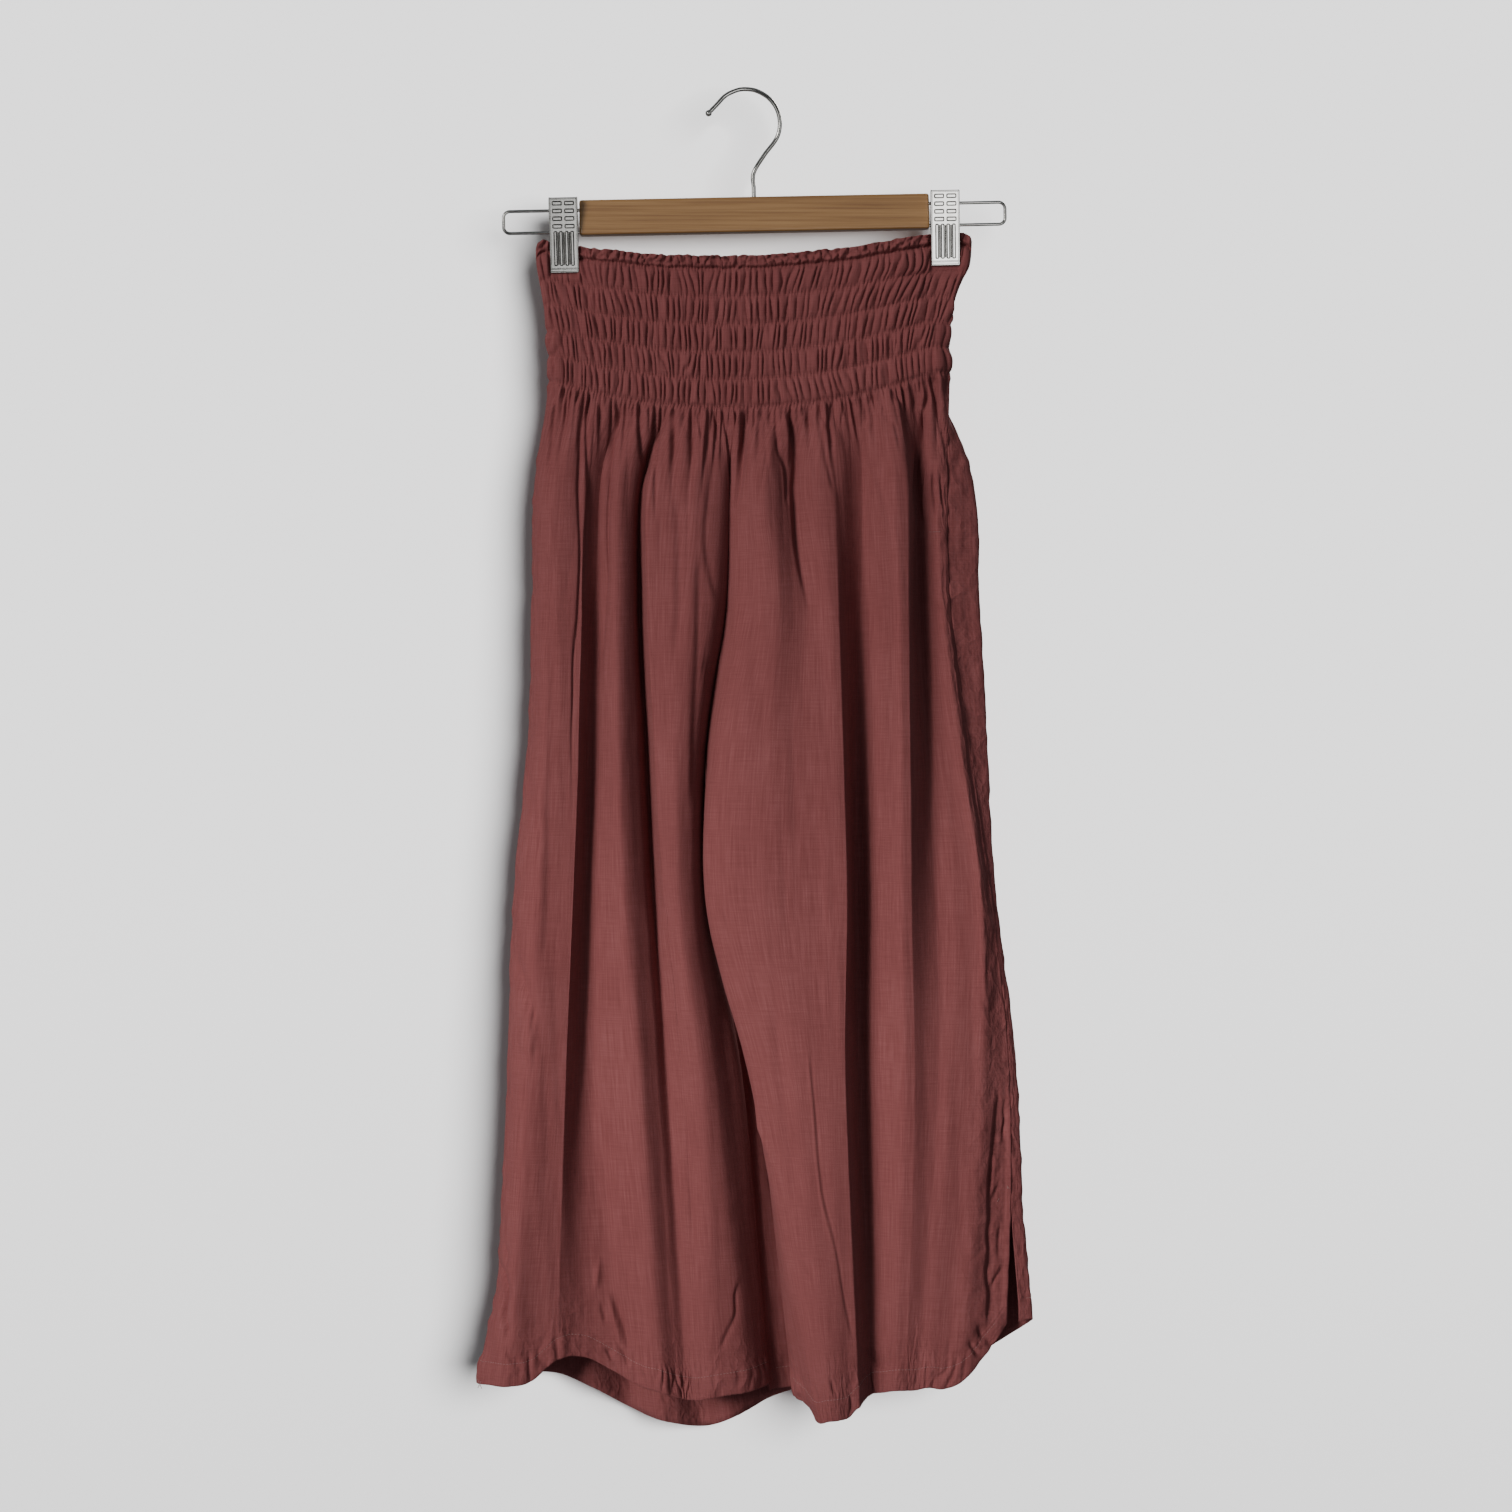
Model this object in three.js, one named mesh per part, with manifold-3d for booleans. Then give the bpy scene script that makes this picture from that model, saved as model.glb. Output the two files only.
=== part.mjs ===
// Harem pants with a shirred waist and wide, slit legs, hung by two clips from a trouser hanger.
//
// Millimetres, +Z up. The origin is the underside of the hook's crown, where a nail or a rail carries it.
// The front faces -Y. Right and left are the wearer's, so the right leg is at -X.
//
// Each of the four panels runs from the waist to the hem. A panel is a wall of cloth whose level section is a
// smooth curve through its fold lines: u runs across the cloth, from 0 at the centre seam and inseam to 1 at
// the side seam. "out" is how far a point stands towards the front, so it is negative behind.

import * as THREE from "three";
import Module from "manifold-3d";

const wasm = await Module();
wasm.setup();

// ---------------------------------------------------------------- driving dimensions

const CLOTH = 1.5; // wall thickness
const SEAM_GAP = 0.3; // between pieces that are sewn together

// Waist: the cloth is gathered by rows of elastic thread.
const CENTRE_X = -6; // the centre seams at the waist
const EDGE_HEIGHT = { right: -120, left: -114, sag: 16 }; // the waist's top edge
const LAST_ROW_HEIGHT = { right: -230, left: -226, sag: 26 }; // the lowest row of shirring
const CLIPPED_SPAN = 156; // half the width over which both of those sag
const CLIPPED = { at: [-145, 160], flat: 12, clear: 34, from: -200, to: -146, least: 0.24, gathers: 0.1, shut: 0.9 };
const SIDE_ROUNDING = 40; // the higher, the squarer the waist's section is at its sides
const ROWS = [0.08, 0.27, 0.455, 0.64, 0.82, 1]; // rows of shirring, as shares from the edge to the last row
const RIDGES = 28; // gathers across each panel
const RIDGE_HEIGHT = { edge: 2.4, row: 0.9, puff: 2.1 };
const PUFF = 0.9; // how far the cloth swells between two rows
const GATHER_FADE = 42; // the gathers die out over this height below the last row

// Legs.
const HEIGHT = { hip: -312, seat: -408, crotch: -528, thigh: -648, knee: -792, hem: -1040 };
const HEM_DEPTH = 20;
const HEM_STEP = 0.5; // the turned hem is this much thicker
const SLIT = { right: -938, left: -882, edge: 0.84, opensOver: 110 }; // tops, and where the cloth swings out
const DIVE = { from: 250, to: 300 }; // the centre seams turn in between the legs over this drop
const POCKET = { top: -276, bottom: -412, mouth: 2, reach: 118, depth: -500, hangs: -440, y: 3, inset: 1.2 };

// Hanger, in its own level frame, which is then turned by its tilt.
const TILT = THREE.MathUtils.degToRad(-1.1);
const BAR = { x: 5.5, z: -99.4, length: 280, height: 28, depth: 14, edge: 2 };
const RAIL = { reach: 201, z: -101.6, spread: 17.6, wire: 1.3, bend: 5, root: 12 };
const HOOK = { wire: 1.75, radius: 27.5, tip: 2.6, root: 9, steps: 24 };
const CLIP = { x: 152.5, width: 23, length: 60, top: -82.5, wall: 1, flange: 5, bite: 3.2, lean: 0.2 };
const BORE_PLAY = 0.35; // clearance round a wire in its hole

// ---------------------------------------------------------------- fold tables

const HEIGHTS = Object.values(HEIGHT);
const OUT_HEIGHTS = [HEIGHT.hip, HEIGHT.crotch, HEIGHT.knee, HEIGHT.hem];

// A row for each fold line, from the centre to the side: x at each of HEIGHT's six heights, out at the hip,
// crotch, knee and hem, and the height of the hem on that line.
const folds = (rows) =>
  rows.map(([name, hip, seat, crotch, thigh, knee, hem, outHip, outCrotch, outKnee, outHem, hemZ]) => ({
    name,
    x: [hip, seat, crotch, thigh, knee, hem],
    out: [outHip, outCrotch, outKnee, outHem],
    hemZ,
  }));

const FRONT_RIGHT = folds([
  ["inseam",        -12,  -15,  -31,  -28,   -2,   20,    6,   0,  -4,  -4,  -1036],
  ["inner edge",    -15,  -19,  -34,  -35,  -14,   15,   12,  14,  14,   8,  -1037],
  ["inner side",    -22,  -27,  -40,  -42,  -24,    2,   18,  26,  27,  23,  -1039],
  ["ridge a",       -39,  -47,  -53,  -53,  -36,  -22,   22,  32,  32,  29,  -1042],
  ["flank a",       -74,  -77,  -71,  -64,  -51,  -37,   17,  21,  24,  24,  -1045],
  ["valley a",      -82,  -85,  -79,  -73,  -62,  -46,    4,   4,  13,  19,  -1045],
  ["edge b",        -88,  -90,  -86,  -80,  -70,  -54,   13,  20,  24,  25,  -1043],
  ["ridge b",       -99, -101, -100,  -96,  -84,  -67,   18,  30,  32,  30,  -1038],
  ["flank b",      -109, -112, -111, -112, -108,  -85,   14,  20,  19,  18,  -1034],
  ["valley b",     -115, -118, -120, -124, -123, -104,    5,   3,   5,   8,  -1023],
  ["step",         -121, -123, -127, -130, -133, -126,    9,   7,   9,  10,  -1012],
  ["edge c",       -127, -129, -132, -136, -142, -150,   13,  22,  22,  16,  -1013],
  ["shoulder c",   -138, -139, -141, -145, -153, -170,   20,  30,  32,  28,  -1029],
  ["ridge c",      -151, -154, -158, -165, -172, -188,   20,  30,  34,  33,  -1033],
  ["outer side",   -161, -165, -169, -179, -184, -198,   12,  18,  22,  22,  -1033],
  ["outline",      -167, -171, -175, -186, -190, -202,    3,   5,   8,  10,  -1033],
  ["side seam",    -166, -169, -173, -184, -188, -199,   -4,  -3,   0,   0,  -1032],
]);

const FRONT_LEFT = folds([
  ["inseam",        -12,  -15,  -31,  -22,    8,   38,    6,   0,  -4,  -4,  -1044],
  ["inner edge",     -5,   -9,  -28,  -32,    4,   48,   12,  16,  20,  20,  -1053],
  ["inner side",      4,    5,  -16,  -19,   16,   55,   20,  29,  32,  35,  -1061],
  ["plateau a",      18,   26,   16,   14,   38,   65,   24,  37,  40,  42,  -1059],
  ["furrow",         38,   48,   46,   46,   58,   74,   12,  35,  40,  42,  -1058],
  ["plateau b",      56,   65,   70,   73,   73,   82,   20,  36,  40,  38,  -1056],
  ["edge a",         70,   74,   78,   81,   80,   90,   14,  26,  30,  28,  -1049],
  ["valley a",       93,   92,   89,   89,   92,  100,    3,   3,   5,  15,  -1042],
  ["slope",         103,  107,  106,  105,  108,  111,   17,  17,  18,  19,  -1040],
  ["ridge b",       118,  121,  122,  123,  125,  120,   26,  32,  30,  24,  -1038],
  ["edge b",        128,  130,  131,  132,  135,  128,   18,  23,  24,  22,  -1038],
  ["valley b",      136,  137,  144,  151,  153,  136,    4,   8,  18,  20,  -1038],
  ["ridge c",       143,  147,  157,  169,  165,  146,   12,  16,  23,  24,  -1036],
  ["valley c",      149,  152,  166,  183,  178,  159,   11,  14,  14,  16,  -1037],
  ["ridge d",       154,  157,  172,  189,  189,  174,   13,  16,  25,  27,  -1031],
  ["edge d",        158,  161,  176,  193,  197,  189,    9,  11,  17,  19,  -1016],
  ["side seam",     162,  164,  180,  197,  212,  211,    6,   6,   4,   4,   -987],
]);

const BACK_RIGHT = folds([
  ["inseam",         -8,  -15,  -31,  -28,   -2,   20,  -14,   0,  -4,  -4,  -1042],
  ["inner edge",    -18,  -24,  -36,  -31,    6,   44,  -20, -10, -15, -18,  -1041],
  ["ridge a",       -34,  -40,  -50,  -48,  -20,   18,  -24, -26, -30, -31,  -1052],
  ["valley a",      -52,  -58,  -66,  -66,  -46,  -14,  -13, -12, -12, -14,  -1066],
  ["ridge b",       -70,  -76,  -84,  -86,  -68,  -38,  -24, -28, -30, -30,  -1075],
  ["valley b",      -86,  -92, -100, -104,  -92,  -66,  -14, -12, -13, -15,  -1069],
  ["ridge c",      -104, -110, -118, -122, -116,  -94,  -24, -28, -30, -30,  -1060],
  ["valley c",     -120, -126, -132, -138, -136, -122,  -14, -14, -14, -16,  -1042],
  ["ridge d",      -138, -144, -148, -156, -158, -150,  -22, -26, -28, -28,  -1032],
  ["back side",    -156, -160, -164, -174, -178, -184,  -16, -18, -20, -18,  -1030],
  ["side seam",    -166, -169, -173, -184, -188, -199,   -4,  -3,   0,   0,  -1030],
]);

const BACK_LEFT = folds([
  ["inseam",         -8,  -15,  -31,  -22,    8,   38,  -14,   0,  -4,  -4,  -1044],
  ["inner edge",      2,   -6,  -25,  -20,   12,   42,  -20, -10, -10,  -8,  -1048],
  ["ridge a",        16,   12,   -8,   -2,   29,   63,  -24, -26, -28, -29,  -1050],
  ["valley a",       34,   34,   26,   27,   49,   80,  -14, -12, -12, -14,  -1046],
  ["ridge b",        52,   56,   54,   54,   72,   98,  -24, -28, -30, -30,  -1044],
  ["valley b",       70,   74,   78,   80,   94,  118,  -13, -12, -12, -15,  -1040],
  ["ridge c",        90,   96,  104,  106,  120,  140,  -24, -28, -30, -30,  -1036],
  ["valley c",      110,  116,  124,  128,  142,  158,  -14, -13, -13, -16,  -1030],
  ["ridge d",       132,  138,  146,  154,  168,  180,  -23, -27, -30, -28,  -1022],
  ["back side",     172,  178,  185,  193,  207,  214,  -14, -16, -16, -14,   -998],
  ["outline",       182,  188,  195,  202,  218,  227,   -3,  -3,  -2,  -2,   -985],
  ["side seam",     162,  164,  180,  197,  212,  211,    6,   6,   4,   4,   -986],
]);

// A row for each level section of the waist: its height, the x of its two ends, and how far its front stands
// from its back's middle plane.
const WAIST = [
  { z: -118, right: -168, left: 182, depth: 7 },
  { z: -140, right: -167, left: 180, depth: 7 },
  { z: -152, right: -165, left: 174, depth: 7 },
  { z: -168, right: -162, left: 168, depth: 8 },
  { z: -184, right: -159, left: 165, depth: 8 },
  { z: -204, right: -157, left: 163, depth: 9 },
  { z: -226, right: -156, left: 164, depth: 10 },
  { z: -256, right: -160, left: 171, depth: 12 },
];

// face is 1 in front and -1 behind, side is 1 on the left, and opening is how far a slit's free edge moves at
// the hem.
const PANELS = {
  front_panel_right: { rows: FRONT_RIGHT, face: 1, side: -1, opening: { x: -15, out: 7 } },
  front_panel_left: { rows: FRONT_LEFT, face: 1, side: 1, opening: { x: -2, out: 2 } },
  back_panel_right: { rows: BACK_RIGHT, face: -1, side: -1, opening: { x: 1, out: -4 } },
  back_panel_left: { rows: BACK_LEFT, face: -1, side: 1, opening: { x: 8, out: -3 } },
};

// ---------------------------------------------------------------- curves

const { lerp, smoothstep } = THREE.MathUtils;

// A smooth curve through values at knots that all rise or all fall. It is level before its first knot and runs
// straight on past its last.
function through(knots, values, at) {
  const last = knots.length - 1;
  const forward = Math.sign(knots[last] - knots[0]);
  const slope = (k) => {
    const before = Math.max(k - 1, 0);
    const after = Math.min(k + 1, last);
    return (values[after] - values[before]) / (knots[after] - knots[before]);
  };
  if ((at - knots[0]) * forward <= 0) return values[0];
  if ((at - knots[last]) * forward >= 0) return values[last] + slope(last) * (at - knots[last]);
  let i = 0;
  while ((at - knots[i + 1]) * forward > 0) i += 1;
  return hermite(values[i], slope(i), values[i + 1], slope(i + 1), knots[i + 1] - knots[i], at - knots[i]);
}

// A cubic over a span, from a value and slope at its start to those at its end.
function hermite(from, fromSlope, to, toSlope, span, at) {
  const t = at / span;
  const t2 = t * t;
  const t3 = t2 * t;
  return (
    from * (2 * t3 - 3 * t2 + 1) +
    fromSlope * span * (t3 - 2 * t2 + t) +
    to * (3 * t2 - 2 * t3) +
    toSlope * span * (t3 - t2)
  );
}

// ---------------------------------------------------------------- the waist

// How far the clips' bite has taken hold at a height, from 0 below them to 1.
const bitten = (z) => smoothstep(z, CLIPPED.from, CLIPPED.to);

// How much the clips leave of the waist's depth, from 1 down to CLIPPED.least in their bite.
function clipped(x, z) {
  const fromClip = Math.min(...CLIPPED.at.map((clip) => Math.abs(x - clip)));
  const across = 1 - smoothstep(fromClip, CLIPPED.flat, CLIPPED.clear);
  return lerp(1, CLIPPED.least, across * bitten(z));
}

// A point of the waist's plain section, without its gathers, at a place u across a panel. Under the clips' bite
// front and back lie flat on each other up to the side seam, and below it the section rounds off there.
function waistPoint(panel, u, z) {
  const heights = WAIST.map((row) => row.z);
  const end = through(heights, WAIST.map((row) => (panel.side > 0 ? row.left : row.right)), z);
  const depth = through(heights, WAIST.map((row) => row.depth), z);
  const x = lerp(CENTRE_X, end, u);
  const bite = bitten(z);
  const round = lerp(Math.sqrt(1 - Math.pow(u, SIDE_ROUNDING)), 1, bite);
  const wallDepth = (CLOTH * bite) / Math.hypot(bite, 1 - bite);
  const shut = wallDepth + SEAM_GAP * bite;
  const closing = bite * smoothstep(u, CLIPPED.shut, 1);
  const out = lerp(Math.max(depth * clipped(x, z) * round, shut), shut, closing);
  return { x, out: panel.face * out };
}

// The height of a line that sags between the clips, at a place across the waist.
function saggingHeight({ right, left, sag }, panel, u) {
  const height = panel.side > 0 ? left : right;
  const across = (waistPoint(panel, u, height).x - CENTRE_X) / CLIPPED_SPAN;
  return lerp(right, left, (across + 1) / 2) - sag * Math.max(0, 1 - across * across);
}

const edgeHeight = (panel, u) => saggingHeight(EDGE_HEIGHT, panel, u);
const lastRowHeight = (panel, u) => saggingHeight(LAST_ROW_HEIGHT, panel, u);

// ---------------------------------------------------------------- a panel's section

// Gives each fold line its place across the cloth, which is the same at every height because the cloth doesn't
// stretch: its mean share of the section's length.
function placeFolds(panel) {
  const { rows } = panel;
  const shares = rows.map(() => 0);
  HEIGHTS.forEach((z) => {
    const points = rows.map((row) => ({
      x: through(HEIGHTS, row.x, z),
      out: through(OUT_HEIGHTS, row.out, z),
    }));
    const lengths = [0];
    for (let k = 1; k < points.length; k += 1) {
      const step = Math.hypot(points[k].x - points[k - 1].x, points[k].out - points[k - 1].out);
      lengths.push(lengths[k - 1] + step);
    }
    lengths.forEach((length, k) => {
      shares[k] += length / lengths.at(-1) / HEIGHTS.length;
    });
    panel.width = Math.max(panel.width ?? 0, lengths.at(-1));
  });
  rows.forEach((row, k) => {
    row.u = shares[k];
  });
}

// How far a slit has opened at a place on a panel.
function opened(panel, u, z) {
  const top = panel.side > 0 ? SLIT.left : SLIT.right;
  return smoothstep(u, SLIT.edge, 1) * smoothstep(top - z, 0, SLIT.opensOver);
}

// A fold line's point at a height.
function foldPoint(panel, row, z) {
  const top = lastRowHeight(panel, row.u);
  if (z >= top) return waistPoint(panel, row.u, z);
  const start = waistPoint(panel, row.u, top);
  const open = opened(panel, row.u, z);
  const apart = row === panel.rows[0] ? panel.side * SEAM_GAP * smoothstep(-z, DIVE.from, DIVE.to) : 0;
  // Below the crotch a leg's front and back follow one inseam, whatever they did above it.
  const inLeg = row === panel.rows[0] && z < HEIGHT.crotch;
  const out = inLeg
    ? through(OUT_HEIGHTS.slice(1), row.out.slice(1), z)
    : through([top, ...OUT_HEIGHTS], [start.out, ...row.out], z);
  return {
    x: through([top, ...HEIGHTS], [start.x, ...row.x], z) + open * panel.opening.x + apart,
    out: out + open * panel.opening.out,
  };
}

// The direction in which the section runs at its inner end: level at the waist, and straight back in the
// valley between the legs and on their inner sides.
function innerDirection(panel, z) {
  const turn = smoothstep(-z, DIVE.from, DIVE.to) * (Math.PI / 2);
  return { x: panel.side * Math.cos(turn), out: panel.face * Math.sin(turn) };
}

const sectionCache = new Map();

// The fold points at a height with the section's direction at each. The side seam's direction runs on into the
// panel that is sewn to it, so the two meet smoothly.
function section(name, z) {
  const key = `${name} ${z.toFixed(4)}`;
  if (sectionCache.has(key)) return sectionCache.get(key);
  const panel = PANELS[name];
  const partner = PANELS[name.startsWith("front") ? name.replace("front", "back") : name.replace("back", "front")];
  const points = panel.rows.map((row) => ({ u: row.u, ...foldPoint(panel, row, z) }));
  const beyond = foldPoint(partner, partner.rows.at(-2), z);
  const last = points.length - 1;
  points.forEach((point, k) => {
    const before = points[k - 1];
    const after = points[k + 1] ?? { ...beyond, u: 2 - points[last - 1].u };
    if (k === 0) {
      const speed = Math.hypot(after.x - point.x, after.out - point.out) / (after.u - point.u);
      const direction = innerDirection(panel, z);
      point.dx = direction.x * speed;
      point.dout = direction.out * speed;
    } else if (k === last) {
      const on = new THREE.Vector2(point.x - before.x, point.out - before.out);
      const across = new THREE.Vector2(after.x - before.x, after.out - before.out);
      const speed = on.length() / (point.u - before.u);
      const direction = across.normalize().lerp(on.normalize(), bitten(z)).normalize();
      point.dx = direction.x * speed;
      point.dout = direction.y * speed;
    } else {
      point.dx = (after.x - before.x) / (after.u - before.u);
      point.dout = (after.out - before.out) / (after.u - before.u);
    }
  });
  sectionCache.set(key, points);
  return points;
}

// A point of a panel's section with its outward direction, moved out by a distance.
function panelPoint(name, u, z, moved = 0) {
  const points = section(name, z);
  const at = (v) => {
    let k = 0;
    while (k < points.length - 2 && v > points[k + 1].u) k += 1;
    const [a, b] = [points[k], points[k + 1]];
    const span = b.u - a.u;
    return {
      x: hermite(a.x, a.dx, b.x, b.dx, span, v - a.u),
      out: hermite(a.out, a.dout, b.out, b.dout, span, v - a.u),
    };
  };
  const here = at(u);
  const step = 1e-3;
  const before = at(Math.max(u - step, 0));
  const after = at(Math.min(u + step, 1));
  const { face, side } = PANELS[name];
  const length = Math.hypot(after.x - before.x, after.out - before.out);
  const outX = (-face * side * (after.out - before.out)) / length;
  const outOut = (face * side * (after.x - before.x)) / length;
  return new THREE.Vector3(here.x + outX * moved, -(here.out + outOut * moved), z);
}

// ---------------------------------------------------------------- a wall from rows of points

// Joins two lines of points into a strip of triangles. Each point has a place, t, and both lines run the same
// way, with the same first and last place.
function strip(a, b) {
  const triangles = [];
  let i = 0;
  let j = 0;
  while (i < a.length - 1 || j < b.length - 1) {
    const stepA = j === b.length - 1 || (i < a.length - 1 && a[i + 1].t <= b[j + 1].t);
    if (stepA) {
      triangles.push([a[i].p, b[j].p, a[i + 1].p]);
      i += 1;
    } else {
      triangles.push([a[i].p, b[j].p, b[j + 1].p]);
      j += 1;
    }
  }
  return triangles;
}

const reversed = (triangles) => triangles.map(([p, q, r]) => [p, r, q]);

// The strips between a face's rows, from top to bottom. Both faces of a wall have their diagonals the same way,
// so that the wall is as thick where it twists.
const faceStrips = (face) => face.slice(1).flatMap((row, k) => strip(face[k].points, row.points));

// A closed wall between an outer and an inner face. A face is a list of rows from top to bottom, each with its
// place down the wall and its points. flipped is for a face whose rows run the other way round.
function wall(outer, inner, flipped) {
  const ends = (face, index) => face.map((row) => ({ t: row.t, p: row.points.at(index).p }));
  const triangles = [
    ...faceStrips(outer),
    ...reversed(faceStrips(inner)),
    ...strip(inner[0].points, outer[0].points),
    ...strip(outer.at(-1).points, inner.at(-1).points),
    ...strip(ends(outer, 0), ends(inner, 0)),
    ...strip(ends(inner, -1), ends(outer, -1)),
  ];
  return new THREE.BufferGeometry().setFromPoints((flipped ? reversed(triangles) : triangles).flat());
}

// ---------------------------------------------------------------- panels

// How far the gathers stand above the plain cloth. f runs from 0 at the waist's edge to 1 at the last row.
function gatherHeight(u, f, below) {
  const ridge = 0.5 - 0.5 * Math.cos(2 * Math.PI * RIDGES * u);
  if (below > 0) return RIDGE_HEIGHT.puff * ridge * Math.exp(-below / GATHER_FADE);
  if (f <= ROWS[0]) return lerp(RIDGE_HEIGHT.edge, RIDGE_HEIGHT.row, f / ROWS[0]) * ridge;
  const k = ROWS.findIndex((row) => f <= row);
  const swell = Math.sin((Math.PI * (f - ROWS[k - 1])) / (ROWS[k] - ROWS[k - 1]));
  return lerp(RIDGE_HEIGHT.row, RIDGE_HEIGHT.puff, swell) * ridge + PUFF * swell;
}

// The clips press the gathers nearly flat in their bite.
function pressed(panel, u, z) {
  const { x } = waistPoint(panel, u, z);
  const { least, gathers } = CLIPPED;
  return Math.max(gathers, (clipped(x, z) - least) / (1 - least));
}

// Places down the leg, as shares from the last row of shirring to the hem, and where the hem is stitched.
const GATHERED_ROWS = [0.018, 0.05, 0.1];
const LEG_ROWS = [0.17, 0.25, 0.34, 0.43, 0.52, 0.61, 0.7, 0.8, 0.9];

// Places down the waist's plain inside, as shares from its edge to the last row.
const PLAIN_ROWS = [0, 0.3, 0.54, 0.78, 1];

// Places across the cloth: a ridge and a hollow for each gather, or the fold lines and the points between them.
const gatherPlaces = () => Array.from({ length: 2 * RIDGES + 1 }, (_, k) => k / (2 * RIDGES));

function foldPlaces(rows, spans) {
  const steps = Array.from({ length: spans }, (_, k) => (k + 1) / spans);
  return rows.flatMap((row, k) => (k ? steps.map((step) => lerp(rows[k - 1].u, row.u, step)) : [row.u]));
}

// How much cloth is missing beside the side seam: half the seam's gap, and more at the pocket's mouth.
function sideTrim(name, z) {
  if (name !== "front_panel_left") return SEAM_GAP / 2;
  const into = Math.min(POCKET.top - z, z - POCKET.bottom);
  return SEAM_GAP / 2 + POCKET.mouth * smoothstep(into, 0, 25);
}

function buildPanel(name) {
  const panel = PANELS[name];
  const trim = SEAM_GAP / 2 / panel.width;
  const hemHeight = (u) => through(panel.rows.map((row) => row.u), panel.rows.map((row) => row.hemZ), u);

  // A row of points: place(u) gives the height and how far the point is moved out.
  const row = (t, places, place) => ({
    t,
    points: places.map((wanted) => {
      const { z } = place(wanted);
      const end = 1 - sideTrim(name, z) / panel.width;
      const u = trim + wanted * (end - trim);
      return { t: wanted, p: panelPoint(name, u, z, place(wanted).moved) };
    }),
  });
  const waistRow = (f, places, moved) =>
    row(f - 1, places, (u) => {
      const z = lerp(edgeHeight(panel, u), lastRowHeight(panel, u), f);
      return { z, moved: moved(u, z) };
    });
  const legRow = (s, places, moved, lift = 0) =>
    row(s, places, (u) => {
      const top = lastRowHeight(panel, u);
      const z = lerp(top, hemHeight(u), s) + lift;
      return { z, moved: moved(u, top - z) };
    });

  const fine = gatherPlaces();
  const coarse = foldPlaces(panel.rows, panel.face > 0 ? 2 : 3);
  const inside = () => -CLOTH;
  const gathered = (f) => (u, z) => gatherHeight(u, f, 0) * pressed(panel, u, z);
  const below = (u, drop) => gatherHeight(u, 1, drop);
  const shirring = ROWS.flatMap((f, k) => (k ? [(ROWS[k - 1] + f) / 2, f] : [f / 2, f]));

  const outer = [
    ...[0, ...shirring].map((f) => waistRow(f, fine, gathered(f))),
    ...GATHERED_ROWS.map((s) => legRow(s, fine, below)),
    ...LEG_ROWS.map((s) => legRow(s, coarse, below)),
    { ...legRow(1, coarse, () => 0, HEM_DEPTH), t: 0.97 },
    { ...legRow(1, coarse, () => HEM_STEP, HEM_DEPTH - 1), t: 0.98 },
    legRow(1, coarse, () => HEM_STEP),
  ];
  const inner = [
    ...PLAIN_ROWS.map((f) => waistRow(f, coarse, inside)),
    ...GATHERED_ROWS.slice(1).map((s) => legRow(s, coarse, inside)),
    ...LEG_ROWS.map((s) => legRow(s, coarse, inside)),
    { ...legRow(1, coarse, inside, HEM_DEPTH), t: 0.97 },
    legRow(1, coarse, inside),
  ];
  return wall(outer, inner, panel.face * panel.side < 0);
}

// ---------------------------------------------------------------- pocket

// The bag hangs inside the left side seam, flat between front and back. Its two layers lie together.
function buildPocketBag() {
  const across = [0, 0.07, 0.2, 0.5, 0.85, 1];
  const down = [0, 0.25, 0.5, 0.7, 0.85, 0.95, 1];
  const place = (w, t, moved) => {
    const z = lerp(POCKET.top, POCKET.depth, t);
    const seam = panelPoint("front_panel_left", 1, Math.max(z, POCKET.hangs));
    const corner = 0.5 - 0.5 * Math.sqrt(1 - Math.pow(2 * Math.max(t - 0.5, 0), 4));
    const reach = POCKET.reach * (1 - corner) * lerp(0.72, 1, smoothstep(t, 0, 0.6));
    const y = lerp(seam.y + CLOTH + 2 * SEAM_GAP, POCKET.y, smoothstep(w, 0, 0.22));
    return new THREE.Vector3(seam.x - POCKET.inset - w * reach, y + moved, z);
  };
  const face = (moved) => down.map((t) => ({ t, points: across.map((w) => ({ t: w, p: place(w, t, moved) })) }));
  return wall(face(0), face(2 * CLOTH), true);
}

// ---------------------------------------------------------------- hanger

// A closed mesh as a manifold-3d solid, and back.
function solid(geometry) {
  const flat = geometry.index ? geometry.toNonIndexed() : geometry;
  const position = flat.getAttribute("position");
  const places = new Map();
  const vertProperties = [];
  const triVerts = [];
  for (let k = 0; k < position.count; k += 1) {
    const p = [position.getX(k), position.getY(k), position.getZ(k)];
    const key = p.map((value) => Math.round(value * 1e4)).join(" ");
    if (!places.has(key)) {
      places.set(key, places.size);
      vertProperties.push(...p);
    }
    triVerts.push(places.get(key));
  }
  return new wasm.Manifold(
    new wasm.Mesh({
      numProp: 3,
      vertProperties: new Float32Array(vertProperties),
      triVerts: new Uint32Array(triVerts),
    }),
  );
}

function geometryOf(manifold) {
  const mesh = manifold.getMesh();
  const geometry = new THREE.BufferGeometry();
  geometry.setAttribute("position", new THREE.BufferAttribute(mesh.vertProperties, 3));
  geometry.setIndex(new THREE.BufferAttribute(mesh.triVerts, 1));
  return geometry;
}

const box = (x, y, z, width, depth, height) =>
  solid(new THREE.BoxGeometry(width, depth, height).translate(x, y, z));

const rodAlongX = (radius, length, x, y, z, sides = 12) =>
  solid(new THREE.CylinderGeometry(radius, radius, length, sides).rotateZ(Math.PI / 2).translate(x, y, z));

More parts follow.
